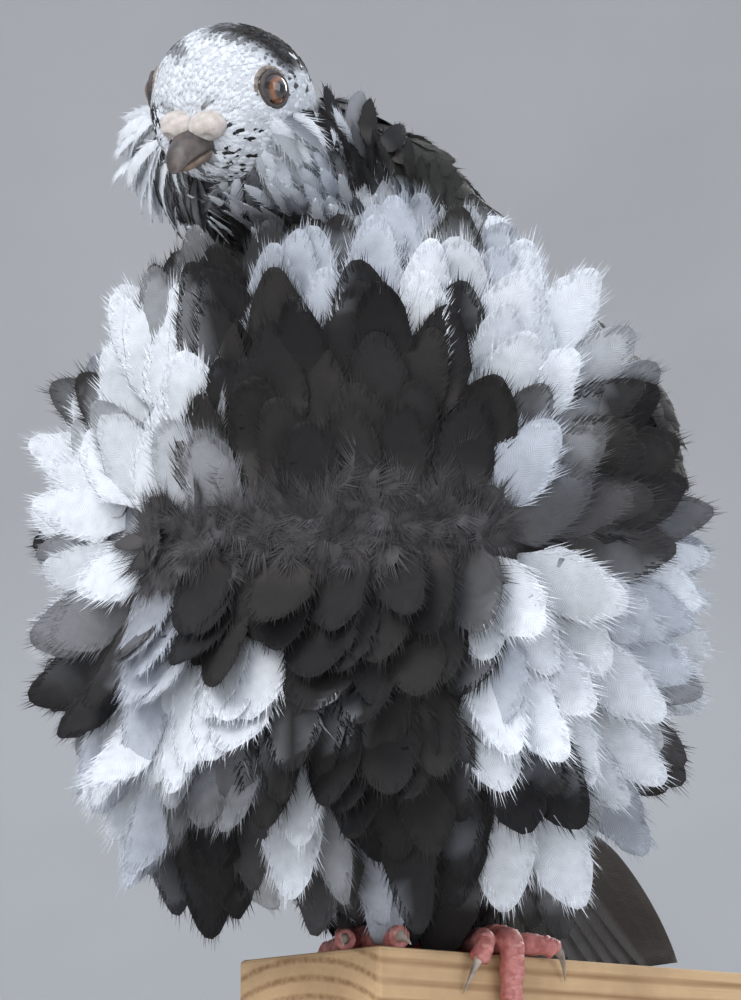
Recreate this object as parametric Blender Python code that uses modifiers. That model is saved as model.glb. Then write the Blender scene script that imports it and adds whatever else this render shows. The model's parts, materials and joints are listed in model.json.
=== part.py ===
"""A Chinese owl pigeon, life size, on a short cut length of sawn timber held by a plain display stand.

Metres, +Z up. The origin is the centre of the stand base's underside. The bird is shaped in its own frame,
which stands on the timber's top between the feet: it faces -Y there and its left side is +X.
"""

import math
import random
from dataclasses import dataclass

import bmesh
import bpy
from mathutils import Matrix, Vector

# The space between two pieces that meet
GAP = 0.0003

# Display stand and timber
BASE_LENGTH = 0.180
BASE_WIDTH = 0.120
BASE_THICKNESS = 0.010
BASE_EDGE = 0.0015
ROD_RADIUS = 0.004
ROD_LENGTH = 0.0464
ROD_SPREAD = 0.090
ROD_SIDES = 20
BEAM_SIDE = 0.040
BEAM_LENGTH = 0.150
BEAM_EDGE = 0.0008
BEAM_TURN = math.radians(40)
PERCH_TOP = BASE_THICKNESS + ROD_LENGTH + 2 * GAP + BEAM_SIDE

# Where the bird stands and which way it faces
BIRD_X = -0.0461
BIRD_Y = -0.0385
BIRD_TURN = math.radians(-20)

# Torso: height above the perch, centre in Y, half width, half depth
TORSO_CENTRE_X = 0.000
TORSO_STATIONS = (
    (0.018, 0.002, 0.020, 0.020),
    (0.024, 0.000, 0.034, 0.035),
    (0.034, 0.001, 0.043, 0.048),
    (0.046, 0.002, 0.047, 0.054),
    (0.060, 0.002, 0.049, 0.054),
    (0.074, 0.000, 0.0495, 0.052),
    (0.088, 0.000, 0.048, 0.049),
    (0.102, 0.000, 0.045, 0.046),
    (0.114, 0.001, 0.040, 0.040),
    (0.122, 0.004, 0.033, 0.034),
    (0.130, 0.007, 0.024, 0.026),
    (0.135, 0.009, 0.014, 0.016),
)
TORSO_BOTTOM = 0.0160
TORSO_TOP = 0.1375
TORSO_SIDES = 26
TORSO_REAR_TAPER = 0.16

# Frill: feathers in rows about a level parting on the breast, each row's distance from it and length
PARTING_HEIGHT = 0.070
PARTING_HALF = 0.031
PARTING_TURN = math.radians(8)
FRILL_ROWS = (
    (0.0040, 0.0200),
    (0.0150, 0.0220),
    (0.0265, 0.0235),
    (0.0380, 0.0240),
    (0.0480, 0.0230),
)
FRILL_PITCH = 0.0152
FRILL_WIDTH = 0.0165
FRILL_LIFT = math.radians(15)
FRILL_CURL = math.radians(21)
FRILL_FLARE = math.radians(5)
FRILL_ROLL = math.radians(6)
FRILL_TURN = 0.45
FRILL_HEM = (0.030, 0.046, 0.30)
FRILL_LIMITS = (
    (0.0195, -112, 112),
    (0.0640, -108, 104),
    (0.0760, -82, 86),
    (0.0900, -74, 76),
    (0.1000, -70, 64),
    (0.1190, -62, 46),
)
FEATHER_OUTLINE = ((0.0, 0.55), (0.42, 0.96), (0.82, 0.92), (1.0, 0.45))
SMALL_OUTLINE = ((0.0, 0.60), (0.62, 1.0), (1.0, 0.45))
FEATHER_THICKNESS = 0.00060
TIP_THICKNESS = 0.00030
FEATHER_SINK = 0.0028

# Neck: a path from the shoulders to the head, with its radius across and along
NECK_STATIONS = (
    (0.000, (0.005, 0.012, 0.110), 0.031),
    (0.350, (0.000, -0.004, 0.129), 0.026),
    (0.700, (-0.005, -0.020, 0.140), 0.019),
    (1.000, (-0.010, -0.032, 0.147), 0.012),
)
# Ruff: rings of feathers round the neck, and their length, lift and curl from the throat round by the nape
RUFF_ROWS = (
    (0.56, 9, 0.0120, (-35, 215)),
    (0.78, 5, 0.0110, (20, 160)),
)
RUFF_SIDES = (
    (-90, 0.0100, 56, 14),
    (0, 0.0130, 50, 10),
    (90, 0.0085, -14, -16),
    (180, 0.0160, 60, 14),
    (270, 0.0100, 56, 14),
)
NECK_SIDES = 16

# Head: its place, the turn of the face to the bird's right, the nod and the tilt
HEAD_CENTRE = (-0.0122, -0.0396, 0.1520)
HEAD_YAW = math.radians(-10)
HEAD_NOD = math.radians(25)
HEAD_TILT = math.radians(9)
HEAD_STATIONS = (
    (-0.0150, 0.0070, 0.0075, -0.0015),
    (-0.0115, 0.0108, 0.0112, -0.0008),
    (-0.0050, 0.0135, 0.0138, 0.0000),
    (0.0020, 0.0142, 0.0146, 0.0005),
    (0.0080, 0.0128, 0.0134, 0.0003),
    (0.0120, 0.0100, 0.0108, -0.0006),
    (0.0146, 0.0066, 0.0074, -0.0018),
)
# Cheek feathers: forward on the head and how many, with each side's length, width, and where they stand
CHEEK_ROWS = ((0.0050, 3), (-0.0040, 3))
CHEEK_LENGTHS = {-1: 0.0215, 1: 0.0130}
CHEEK_WIDTH = 0.0082
CHEEK_ANGLES = (-6, -64)
CHEEK_LIFT = math.radians(66)
CHEEK_CURL = math.radians(-30)
CHEEK_TURN = math.radians(35)
HEAD_BACK = -0.0170
HEAD_FRONT = 0.0160
HEAD_SIDES = 20

# Face: eye, lids, beak and cere, in the head's frame
EYE_RADIUS = 0.0039
EYE_FORWARD = 0.0060
EYE_SIDE = 0.0103
EYE_UP = 0.0036
LID_RADIUS = 0.0042
LID_TUBE = 0.0008
LID_OUT = 0.0023
BEAK_ROOT = 0.0100
BEAK_LENGTH = 0.0135
BEAK_UP = -0.0050
BEAK_HALF_WIDTH = 0.0044
BEAK_DROP = 0.0028
CERE_FORWARD = 0.0150
CERE_SIDE = 0.0026
CERE_UP = -0.0008
CERE_RADII = (0.0036, 0.0044, 0.0031)
NOSTRIL_RADII = (0.0008, 0.0020, 0.0006)

# Wings and tail, in the bird's frame with the wings measured from the torso's centre line
WING_BASE = (
    (math.radians(97), 0.119, 0.002),
    (math.radians(112), 0.106, 0.0035),
    (math.radians(126), 0.090, 0.0035),
    (math.radians(141), 0.072, 0.004),
)
WING_REACH = ((0.0190, 0.0800, 0.0440), (0.0095, 0.1060, 0.0160))
WING_REACH_NORMALS = ((0.50, 0.38, 0.78), (0.35, 0.30, 0.88))
WING_SECTIONS = (
    (0.02, 0.009, 0.0036),
    (0.12, 0.019, 0.0058),
    (0.28, 0.023, 0.0062),
    (0.44, 0.020, 0.0052),
    (0.60, 0.014, 0.0034),
    (0.72, 0.009, 0.0018),
)
WING_CORE_END = 0.76
WING_TIERS = (
    (0.06, 3, 0.17, 0.0150, 0.0016, 0.55, 0.62, 3),
    (0.18, 4, 0.19, 0.0140, 0.0016, 0.76, 0.78, 3),
    (0.30, 4, 0.22, 0.0145, 0.0016, 0.78, 0.82, 3),
    (0.42, 5, 0.34, 0.0125, 0.0014, 0.80, 0.95, 4),
)
LIFTED_ROOT = (0.0350, 0.0220, 0.1165)
LIFTED_ALONG = (0.92, 0.05, -0.30)
LIFTED_NORMAL = (0.25, -0.60, 0.75)
LIFTED_SIZE = (0.0200, 0.0080)
PRIMARIES = 5
PRIMARY_START = 0.52
PRIMARY_END = 0.985
PRIMARY_STEP = 0.038
PRIMARY_WIDTH = 0.0105
WING_SIDES = 12
TAIL_ROOT = (0.000, 0.046, 0.048)
TAIL_TIP = (0.000, 0.114, 0.008)
TAIL_SECTIONS = (
    (0.00, 0.015, 0.0095),
    (0.15, 0.015, 0.0085),
    (0.30, 0.013, 0.0050),
    (0.38, 0.009, 0.0022),
)
TAIL_PAIRS = 6
TAIL_FEATHER_WIDTH = 0.0132
TAIL_STEP = 0.0019
TAIL_LEVEL = 0.0008
TAIL_SPREAD = math.radians(1.6)
TAIL_COVERTS = ((1, 5, 0.0260), (-1, 4, 0.0300))
TAIL_SIDES = 16

# Legs and feet. A foot lies on the timber: how far along it and back from its front edge the pad is
LEG_TOPS = {"left": (0.0190, 0.0060, 0.0300), "right": (-0.0120, 0.0020, 0.0300)}
LEG_FEET = {"left": (0.0175, 0.0064, 0.0085), "right": (-0.0040, 0.0013, 0.0085)}
LEG_RADII = (0.0095, 0.0042)
LEG_SIDES = 12
LEG_FEATHERS = 5
LEG_FEATHER_LENGTH = 0.0135
LEG_FEATHER_WIDTH = 0.0075
PADS = {"left": (-0.0455, 0.0080), "right": (-0.0610, 0.0240)}
PAD_RADIUS = 0.0034
TARSUS_RADIUS = 0.0021
TOES = {
    "middle": (0.0200, 0.0028),
    "outer": (0.0150, 0.0025),
    "inner": (0.0150, 0.0025),
    "hind": (0.0090, 0.0023),
}
TOE_HEADINGS = {
    "left": {"middle": -91, "outer": -42, "inner": -122, "hind": 96},
    "right": {"middle": -105, "outer": -135, "inner": -68, "hind": 84},
}
TOE_SIDES = 6
TOE_RINGS = 8
CLAW_LENGTH = 0.0060
CLAW_SINK = 0.0010
CLAW_SIDES = 6
CLAW_RINGS = 4
SEED = 11


def clear_scene():
    """Removes every object that the scene starts with."""
    for obj in list(bpy.data.objects):
        bpy.data.objects.remove(obj)


def new_collection(name):
    collection = bpy.data.collections.new(name)
    bpy.context.scene.collection.children.link(collection)
    return collection


def finish(name, color, roughness, metallic=0.0):
    """A Principled material of one colour."""
    material = bpy.data.materials.new(name)
    material.use_nodes = True
    shader = material.node_tree.nodes["Principled BSDF"]
    shader.inputs["Base Color"].default_value = (*color, 1.0)
    shader.inputs["Roughness"].default_value = roughness
    shader.inputs["Metallic"].default_value = metallic
    return material


def empty(name, matrix, parent=None):
    """A frame that pieces are parented to."""
    frame = bpy.data.objects.new(name, None)
    frame.matrix_basis = matrix
    frame.parent = parent
    PARTS.objects.link(frame)
    return frame


def new_object(name, piece, frame, material, collection):
    """An object with a triangulated mesh of a piece's points and faces, in a frame."""
    mesh = bpy.data.meshes.new(name)
    mesh.from_pydata([tuple(point) for point in piece[0]], [], piece[1])
    shape = bmesh.new()
    shape.from_mesh(mesh)
    bmesh.ops.triangulate(shape, faces=shape.faces)
    bmesh.ops.recalc_face_normals(shape, faces=shape.faces)
    shape.to_mesh(mesh)
    shape.free()
    obj = bpy.data.objects.new(name, mesh)
    obj.parent = frame
    if material:
        mesh.materials.append(material)
    collection.objects.link(obj)
    return obj


def loft(rings, start=None, end=None):
    """A closed tube through rings of equal count, each end closed to a point or with a flat face."""
    count = len(rings[0])
    points = [point for ring in rings for point in ring]
    faces = []
    for row in range(len(rings) - 1):
        low, high = row * count, (row + 1) * count
        for k in range(count):
            following = (k + 1) % count
            faces.append((low + k, low + following, high + following, high + k))
    for tip, first in ((start, 0), (end, (len(rings) - 1) * count)):
        if tip is None:
            faces.append(tuple(range(first, first + count)))
            continue
        points.append(Vector(tip))
        for k in range(count):
            faces.append((first + k, first + (k + 1) % count, len(points) - 1))
    return points, faces


def spread(stations, key):
    """The values between stations at a key, on a smooth curve through them."""
    keys = [station[0] for station in stations]
    last = len(stations) - 2
    index = min(max(sum(k <= key for k in keys) - 1, 0), last)
    before, after = stations[max(index - 1, 0)], stations[min(index + 2, last + 1)]
    start, stop = stations[index], stations[index + 1]
    span = stop[0] - start[0]
    t = (key - start[0]) / span
    values = []
    for column in range(1, len(start)):
        rise_a = (stop[column] - before[column]) / (stop[0] - before[0]) * span
        rise_b = (after[column] - start[column]) / (after[0] - start[0]) * span
        values.append(
            (2 * t**3 - 3 * t**2 + 1) * start[column]
            + (t**3 - 2 * t**2 + t) * rise_a
            + (3 * t**2 - 2 * t**3) * stop[column]
            + (t**3 - t**2) * rise_b
        )
    return values


def ball(centre, radii, matrix=None, segments=12, rings=8):
    """An ellipsoid about a centre, turned by a matrix."""
    shape = bmesh.new()
    bmesh.ops.create_uvsphere(shape, u_segments=segments, v_segments=rings, radius=1.0)
    turn = matrix or Matrix.Identity(3)
    stretch = Matrix.Diagonal(Vector(radii))
    points = [turn @ (stretch @ vert.co) + Vector(centre) for vert in shape.verts]
    faces = [tuple(vert.index for vert in face.verts) for face in shape.faces]
    shape.free()
    return points, faces


def ring_tube(centre, normal, radius, tube, segments=14, sides=5):
    """A torus about a normal."""
    turn = Vector((0, 0, 1)).rotation_difference(normal).to_matrix()
    rings = []
    for k in range(segments):
        angle = 2 * math.pi * k / segments
        out = Vector((math.cos(angle), math.sin(angle), 0))
        ring = []
        for j in range(sides):
            turned = 2 * math.pi * j / sides
            local = out * (radius + tube * math.cos(turned)) + Vector((0, 0, tube * math.sin(turned)))
            ring.append(turn @ local + Vector(centre))
        rings.append(ring)
    points = [point for ring in rings for point in ring]
    faces = []
    for k in range(segments):
        low, high = k * sides, (k + 1) % segments * sides
        for j in range(sides):
            following = (j + 1) % sides
            faces.append((low + j, low + following, high + following, high + j))
    return points, faces


def blade(stations):
    """A flat strip through (centre, side, normal, half width, half thickness), both faces split alike."""
    points, faces = [], []
    for centre, side, normal, half_width, half_thickness in stations:
        for across, up in ((-1, 1), (1, 1), (1, -1), (-1, -1)):
            points.append(centre + side * across * half_width + normal * up * half_thickness)
    for row in range(len(stations) - 1):
        low, high = 4 * row, 4 * row + 4
        faces += [(low, low + 1, high + 1), (low, high + 1, high)]
        faces += [(low + 3, high + 2, low + 2), (low + 3, high + 3, high + 2)]
        faces += [(low + 1, low + 2, high + 2), (low + 1, high + 2, high + 1)]
        faces += [(low, high, high + 3), (low, high + 3, low + 3)]
    last = len(points) - 4
    faces += [(0, 3, 2), (0, 2, 1), (last, last + 1, last + 2), (last, last + 2, last + 3)]
    return points, faces


@dataclass
class Feather:
    """A bent feather that grows out of a surface: its place, the way it lies and how it lifts and curls."""

    root: Vector
    along: Vector
    normal: Vector
    length: float
    width: float
    lift: float
    curl: float
    sweep: float = 0.0
    roll: float = 0.0
    outline: tuple = FEATHER_OUTLINE

    def piece(self, extra=0.0):
        """The feather as a closed strip, its root sunk in, stood off by extra."""
        along = (self.along - self.normal * self.along.dot(self.normal)).normalized()
        normal = self.normal.normalized()
        reach = self.length + FEATHER_SINK + 2 * extra
        place = self.root - self.heading(along, normal, 0.0)[0] * (FEATHER_SINK + extra)
        stations = []
        before = 0.0
        for t, share in self.outline:
            ahead, _ = self.heading(along, normal, (t + before) / 2)
            place = place + ahead * (t - before) * reach
            before = t
            ahead, up = self.heading(along, normal, t)
            side = ahead.cross(up)
            thin = FEATHER_THICKNESS + (TIP_THICKNESS - FEATHER_THICKNESS) * rise(t, 0.82, 1.0)
            stations.append((place, side, up, share * self.width / 2 + extra, thin / 2 + extra))
        return blade(stations)

    def heading(self, along, normal, t):
        """Which way the feather points and which way its face looks, at t along it."""
        turned = Matrix.Rotation(self.sweep * t, 3, normal) @ along
        angle = self.lift + self.curl * t
        ahead = turned * math.cos(angle) + normal * math.sin(angle)
        up = normal * math.cos(angle) - turned * math.sin(angle)
        return ahead, Matrix.Rotation(self.roll, 3, ahead) @ up


def near(pieces, obj):
    """The pieces whose boxes come within a millimetre of an object that lies in the same frame."""
    margin = 0.001
    corners = [Vector(corner) for corner in obj.bound_box]
    low = [min(corner[axis] for corner in corners) - margin for axis in range(3)]
    high = [max(corner[axis] for corner in corners) + margin for axis in range(3)]
    return [
        piece
        for piece in pieces
        if all(
            min(point[axis] for point in piece[0]) < high[axis]
            and max(point[axis] for point in piece[0]) > low[axis]
            for axis in range(3)
        )
    ]


def replace_mesh(obj):
    """Gives an object the mesh that its modifiers make, and removes them."""
    bpy.context.view_layer.update()
    evaluated = obj.evaluated_get(bpy.context.evaluated_depsgraph_get())
    mesh = bpy.data.meshes.new_from_object(evaluated)
    obj.modifiers.clear()
    obj.data = mesh


def combine(obj, pieces, frame, operation, solver="MANIFOLD"):
    """One Boolean of an object with a collection of closed pieces in a frame, applied, the pieces removed."""
    if not pieces:
        return
    tools = new_collection("tools")
    for number, piece in enumerate(pieces):
        new_object(f"tool_{number}", piece, frame, None, tools)
    modifier = obj.modifiers.new("combine", "BOOLEAN")
    modifier.operation = operation
    modifier.solver = solver
    modifier.operand_type = "COLLECTION"
    modifier.collection = tools
    replace_mesh(obj)
    for tool in list(tools.objects):
        bpy.data.objects.remove(tool)
    bpy.data.collections.remove(tools)
    keep_largest(obj)


def keep_largest(obj):
    """Leaves an object only its largest closed surface."""
    shape = bmesh.new()
    shape.from_mesh(obj.data)
    left = set(shape.faces)
    groups = []
    while left:
        group, edge = set(), [next(iter(left))]
        while edge:
            face = edge.pop()
            if face in group:
                continue
            group.add(face)
            edge.extend(other for side in face.edges for other in side.link_faces if other not in group)
        left -= group
        groups.append(group)
    groups.sort(key=lambda group: sum(face.calc_area() for face in group))
    scraps = [face for group in groups[:-1] for face in group]
    bmesh.ops.delete(shape, geom=scraps, context="FACES")
    shape.to_mesh(obj.data)
    shape.free()


def shade(obj):
    obj.data.shade_smooth()
    obj.data.set_sharp_from_angle(angle=math.radians(40))


def rise(value, start, stop):
    """0 up to start and 1 from stop, smooth between them."""
    t = min(max((value - start) / (stop - start), 0.0), 1.0)
    return t * t * (3 - 2 * t)


def torso_point(azimuth, height, extra=0.0):
    """A point of the torso's surface. Azimuth 0 faces -Y and grows towards the bird's left."""
    centre_y, half_width, half_depth = spread(TORSO_STATIONS, height)
    half_width *= 1 - TORSO_REAR_TAPER * max(-math.cos(azimuth), 0.0) ** 2
    return Vector(
        (
            TORSO_CENTRE_X + (half_width + extra) * math.sin(azimuth),
            centre_y - (half_depth + extra) * math.cos(azimuth),
            height,
        )
    )


def torso_tangents(azimuth, height):
    """The directions of growing azimuth and of growing height on the torso's surface."""
    step = 0.001
    here = torso_point(azimuth, height)
    around = torso_point(azimuth + step, height) - here
    up = torso_point(azimuth, height + step) - here
    return around.normalized(), up.normalized()


def torso_normal(azimuth, height):
    around, up = torso_tangents(azimuth, height)
    return around.cross(up).normalized()


def torso_piece(extra=0.0):
    """The torso's surface, stood off by extra."""
    rings = []
    for height, *_ in TORSO_STATIONS:
        rings.append([torso_point(2 * math.pi * k / TORSO_SIDES, height, extra) for k in range(TORSO_SIDES)])
    bottom = (TORSO_CENTRE_X, TORSO_STATIONS[0][1], TORSO_BOTTOM - extra)
    top = (TORSO_CENTRE_X, TORSO_STATIONS[-1][1], TORSO_TOP + extra)
    return loft(rings, bottom, top)


def stadium(walk, offset):
    """Where a walk round the parting at an offset has come to: place across and up, and the way out."""
    straight, bend = 2 * PARTING_HALF, math.pi * offset
    if walk < straight:
        return walk - PARTING_HALF, offset, math.pi / 2
    if walk < straight + bend:
        angle = math.pi / 2 - (walk - straight) / offset
        return PARTING_HALF + offset * math.cos(angle), offset * math.sin(angle), angle
    if walk < 2 * straight + bend:
        return PARTING_HALF - (walk - straight - bend), -offset, -math.pi / 2
    angle = -math.pi / 2 - (walk - 2 * straight - bend) / offset
    return -PARTING_HALF + offset * math.cos(angle), offset * math.sin(angle), angle


def frill_feathers():
    """The breast's feathers: up above the parting, down below it and out at the sides, in overlapping rows."""
    draw = random.Random(SEED)
    feathers = []
    for row, (offset, length) in enumerate(FRILL_ROWS):
        girth = 4 * PARTING_HALF + 2 * math.pi * offset
        count = round(girth / FRILL_PITCH)
        for k in range(count):
            walk = (k + 0.5 * (row % 2)) / count * girth
            across, up, angle = stadium(walk, offset)
            height = PARTING_HEIGHT + up
            azimuth = PARTING_TURN + across / TORSO_STATIONS[5][2]
            jitter = [draw.uniform(-1, 1) for _ in range(5)]
            if not FRILL_LIMITS[0][0] <= height <= FRILL_LIMITS[-1][0]:
                continue
            right, left = spread(FRILL_LIMITS, height)
            if not right <= math.degrees(azimuth) <= left:
                continue
            around, rising = torso_tangents(azimuth, height)
            root = torso_point(azimuth, height)
            side = abs(math.cos(angle))
            low = rise(-up, *FRILL_HEM[:2])
            feathers.append(
                Feather(
                    root=root,
                    along=around * math.cos(angle) + rising * math.sin(angle),
                    normal=torso_normal(azimuth, height),
                    length=length * (1 + 0.07 * jitter[0]) * (1 + FRILL_HEM[2] * low),
                    width=FRILL_WIDTH * (1 + 0.06 * jitter[1]),
                    lift=FRILL_LIFT + FRILL_FLARE * side + math.radians(2) * jitter[2],
                    curl=(FRILL_CURL + FRILL_FLARE * side) * (1 - 0.6 * low) + math.radians(5) * jitter[3],
                    sweep=math.radians(8) * jitter[4],
                    roll=FRILL_ROLL - FRILL_TURN * azimuth * math.sin(angle),
                )
            )
    return feathers


def ring_about(centre, axis, across, half_width, half_height, sides):
    """A ring of points about an axis, with half its width along across."""
    side = across.normalized()
    rise = axis.cross(side).normalized()
    ring = []
    for k in range(sides):
        angle = 2 * math.pi * k / sides
        ring.append(centre + side * half_width * math.cos(angle) + rise * half_height * math.sin(angle))
    return ring


def neck_centre(t):
    columns = spread([(s, *centre, radius) for s, centre, radius in NECK_STATIONS], t)
    return Vector(columns[:3]), columns[3]


def neck_piece(extra=0.0):
    """The neck's tube, from inside the shoulders to inside the head."""
    rings = []
    steps = 5
    for k in range(steps + 1):
        t = k / steps
        centre, radius = neck_centre(t)
        axis = (neck_centre(min(t + 0.01, 1.0))[0] - neck_centre(max(t - 0.01, 0.0))[0]).normalized()
        across = axis.cross(Vector((0, -1, 0))).normalized()
        rings.append(ring_about(centre, axis, across, radius + extra, radius + extra, NECK_SIDES))
    return loft(rings)


def ruff_feathers():
    """The collar and the cheeks' feathers, which stand out of the neck about the head."""
    draw = random.Random(SEED + 1)
    feathers = []
    for t, count, width, (start, stop) in RUFF_ROWS:
        centre, radius = neck_centre(t)
        axis = (neck_centre(t + 0.05)[0] - neck_centre(t - 0.05)[0]).normalized()
        across = axis.cross(Vector((0, -1, 0))).normalized()
        above = axis.cross(across).normalized()
        for k in range(count):
            turn = start + (stop - start) * k / (count - 1) + draw.uniform(-3, 3)
            length, lift, curl = spread(RUFF_SIDES, turn)
            angle = math.radians(turn)
            out = across * math.cos(angle) + above * math.sin(angle)
            feathers.append(
                Feather(
                    root=centre + out * radius,
                    along=axis,
                    normal=out,
                    length=length * draw.uniform(0.9, 1.1),
                    width=width,
                    lift=math.radians(lift + draw.uniform(-4, 4)),
                    curl=math.radians(curl),
                    sweep=math.radians(draw.uniform(-10, 10)),
                    roll=FRILL_ROLL,
                    outline=SMALL_OUTLINE,
                )
            )
    return feathers


def head_piece(extra=0.0):
    """The head's ball, along the face's direction, which is -Y in the head's frame."""
    rings = []
    for forward, half_width, half_height, rise in HEAD_STATIONS:
        centre = Vector((0, -forward, rise))
        ring = ring_about(
            centre, Vector((0, -1, 0)), Vector((1, 0, 0)), half_width + extra, half_height + extra, HEAD_SIDES
        )
        rings.append(ring)
    back = (0, -(HEAD_BACK - extra), HEAD_STATIONS[0][3])
    front = (0, -(HEAD_FRONT + extra), HEAD_STATIONS[-1][3])
    return loft(rings, back, front)


def cheek_feathers():
    """The ruff's feathers on both cheeks, which hang back and out from the sides of the head."""
    draw = random.Random(SEED + 2)
    feathers = []
    for side in (1, -1):
        for row, (forward, count) in enumerate(CHEEK_ROWS):
            half_width, half_height, middle = spread(HEAD_STATIONS, forward)
            for k in range(count):
                share = (k + 0.5 * row) / (count - 0.5)
                angle = math.radians(CHEEK_ANGLES[0] + (CHEEK_ANGLES[1] - CHEEK_ANGLES[0]) * share)
                out = Vector((side * math.cos(angle), 0, math.sin(angle)))
                down = Vector((side * math.sin(angle), 0, -math.cos(angle)))
                feathers.append(
                    Feather(
                        root=Vector((out.x * half_width, -forward, middle + out.z * half_height)),
                        along=down + Vector((0, 0.55, 0)),
                        normal=out,
                        length=CHEEK_LENGTHS[side] * draw.uniform(0.9, 1.1),
                        width=CHEEK_WIDTH,
                        lift=CHEEK_LIFT,
                        curl=CHEEK_CURL,
                        sweep=math.radians(draw.uniform(-8, 8)),
                        roll=side * CHEEK_TURN,
                        outline=SMALL_OUTLINE,
                    )
                )
    return feathers


def eye_centre(side):
    return Vector((side * EYE_SIDE, -EYE_FORWARD, EYE_UP))


def eye_piece(side, extra=0.0):
    return ball(eye_centre(side), [EYE_RADIUS + extra] * 3, segments=14, rings=8)


def lid_piece(side, extra=0.0):
    """The ring of bare skin about an eye."""
    normal = Vector((side, -0.18, 0.05)).normalized()
    return ring_tube(eye_centre(side) + normal * LID_OUT, normal, LID_RADIUS, LID_TUBE + extra)


def beak_piece(sign, extra=0.0):
    """One half of the beak: sign is 1 for the upper half and -1 for the lower."""
    rings = []
    steps = 5
    length = BEAK_LENGTH if sign > 0 else 0.86 * BEAK_LENGTH
    for k in range(steps):
        t = k / steps
        taper = math.sqrt(max(1 - t**1.7, 0.0))
        drop = BEAK_DROP * t**2
        half_width = BEAK_HALF_WIDTH * (0.25 + 0.75 * taper) * (1.0 if sign > 0 else 0.88)
        height = (0.0044 if sign > 0 else 0.0030) * (0.3 + 0.7 * taper)
        seam = BEAK_UP - drop + sign * (GAP / 2 - extra)
        y = -(BEAK_ROOT + length * t)
        ring = []
        for j in range(9):
            angle = math.pi * j / 8
            ring.append(
                Vector(
                    (
                        (half_width + extra) * math.cos(angle),
                        y,
                        seam + sign * (height + 2 * extra) * math.sin(angle),
                    )
                )
            )
        rings.append(ring)
    tip_drop = BEAK_DROP + (0.0012 if sign > 0 else 0.0)
    tip = Vector((0, -(BEAK_ROOT + length + extra), BEAK_UP - tip_drop + sign * 0.0006))
    return loft(rings, None, tip)


def cere_pieces(extra=0.0):
    """The two bulbs over the nostrils."""
    pieces = []
    for side in (1, -1):
        centre = Vector((side * CERE_SIDE, -CERE_FORWARD, CERE_UP))
        turn = Matrix.Rotation(math.radians(28), 3, "X") @ Matrix.Rotation(side * math.radians(14), 3, "Z")
        radii = [radius + extra for radius in CERE_RADII]
        pieces.append(ball(centre, radii, turn, segments=9, rings=6))
    return pieces


def nostril_pieces():
    """The slits under the front of the cere."""
    pieces = []
    for side in (1, -1):
        centre = Vector((side * (CERE_SIDE + 0.0012), -(CERE_FORWARD + 0.0022), CERE_UP - 0.0022))
        turn = Matrix.Rotation(math.radians(20), 3, "X") @ Matrix.Rotation(side * math.radians(20), 3, "Z")
        pieces.append(ball(centre, NOSTRIL_RADII, turn, segments=8, rings=5))
    return pieces


def between(points, t):
    """A point on a smooth curve through points, at t from 0 to 1."""
    stations = [(k / (len(points) - 1), *point) for k, point in enumerate(points)]
    return Vector(spread(stations, t))


def wing_frame(t, side):
    """Centre, direction, outward normal and the direction across a wing at t along it."""
    step = 0.01
    line = [torso_point(*place) for place in WING_BASE] + [Vector(point) for point in WING_REACH]
    normals = [torso_normal(*place[:2]) for place in WING_BASE]
    normals += [Vector(normal) for normal in WING_REACH_NORMALS]
    centre = between(line, t)
    along = between(line, min(t + step, 1.0)) - between(line, max(t - step, 0.0))
    normal = between(normals, t)
    for vector in (centre, along, normal):
        vector.x *= side
    along.normalize()
    normal = (normal - along * normal.dot(along)).normalized()
    return centre, along, normal, along.cross(normal)


def wing_piece(side, extra=0.0):
    """The wing's core, from the wrist to where the flight feathers leave it."""
    rings = []
    for t, half_width, half_thickness in WING_SECTIONS:
        centre, along, normal, across = wing_frame(t, side)
        rings.append(
            ring_about(centre, along, across, half_width + extra, half_thickness + extra, WING_SIDES)
        )
    start = wing_frame(0.0, side)[0] - wing_frame(0.0, side)[1] * (0.003 + extra)
    end = wing_frame(WING_CORE_END, side)[0] + wing_frame(WING_CORE_END, side)[1] * extra
    return loft(rings, start, end)


def wing_feather(side, start, stop, place, narrowed, width, depth, height, steps, extra):
    """A feather along the wing: places across it at both ends, and how deep it starts and how high it ends."""
    stations = []
    for k in range(steps):
        share = k / (steps - 1)
        t = start + (stop - start) * share
        centre, along, normal, across = wing_frame(min(t, 1.0), side)
        core = spread(WING_SECTIONS, min(t, WING_SECTIONS[-1][0]))
        half_width = core[0]
        half_thickness = core[1] * (1 - rise(t, WING_SECTIONS[-1][0], 1.0))
        a = place + (narrowed - place) * share
        surface = half_thickness * math.sqrt(max(1 - min(abs(a), 0.95) ** 2, 0.0))
        off = surface - depth + (depth + height) * share
        lean = math.radians(5) + math.asin(max(min(a, 0.9), -0.9)) * 0.55 * half_thickness / WING_SECTIONS[2][2]
        face = Matrix.Rotation(lean, 3, along) @ normal
        shape = (0.55, 0.92, 1.0, 0.90, 0.40)[k * 4 // (steps - 1)]
        thin = FEATHER_THICKNESS if k < steps - 1 else TIP_THICKNESS
        spot = centre + across * a * half_width + normal * off
        if k == 0:
            spot -= along * extra
        elif k == steps - 1:
            spot += along * extra
        stations.append((spot, along.cross(face), face, shape * width / 2 + extra, thin / 2 + extra))
    return blade(stations)


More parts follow.
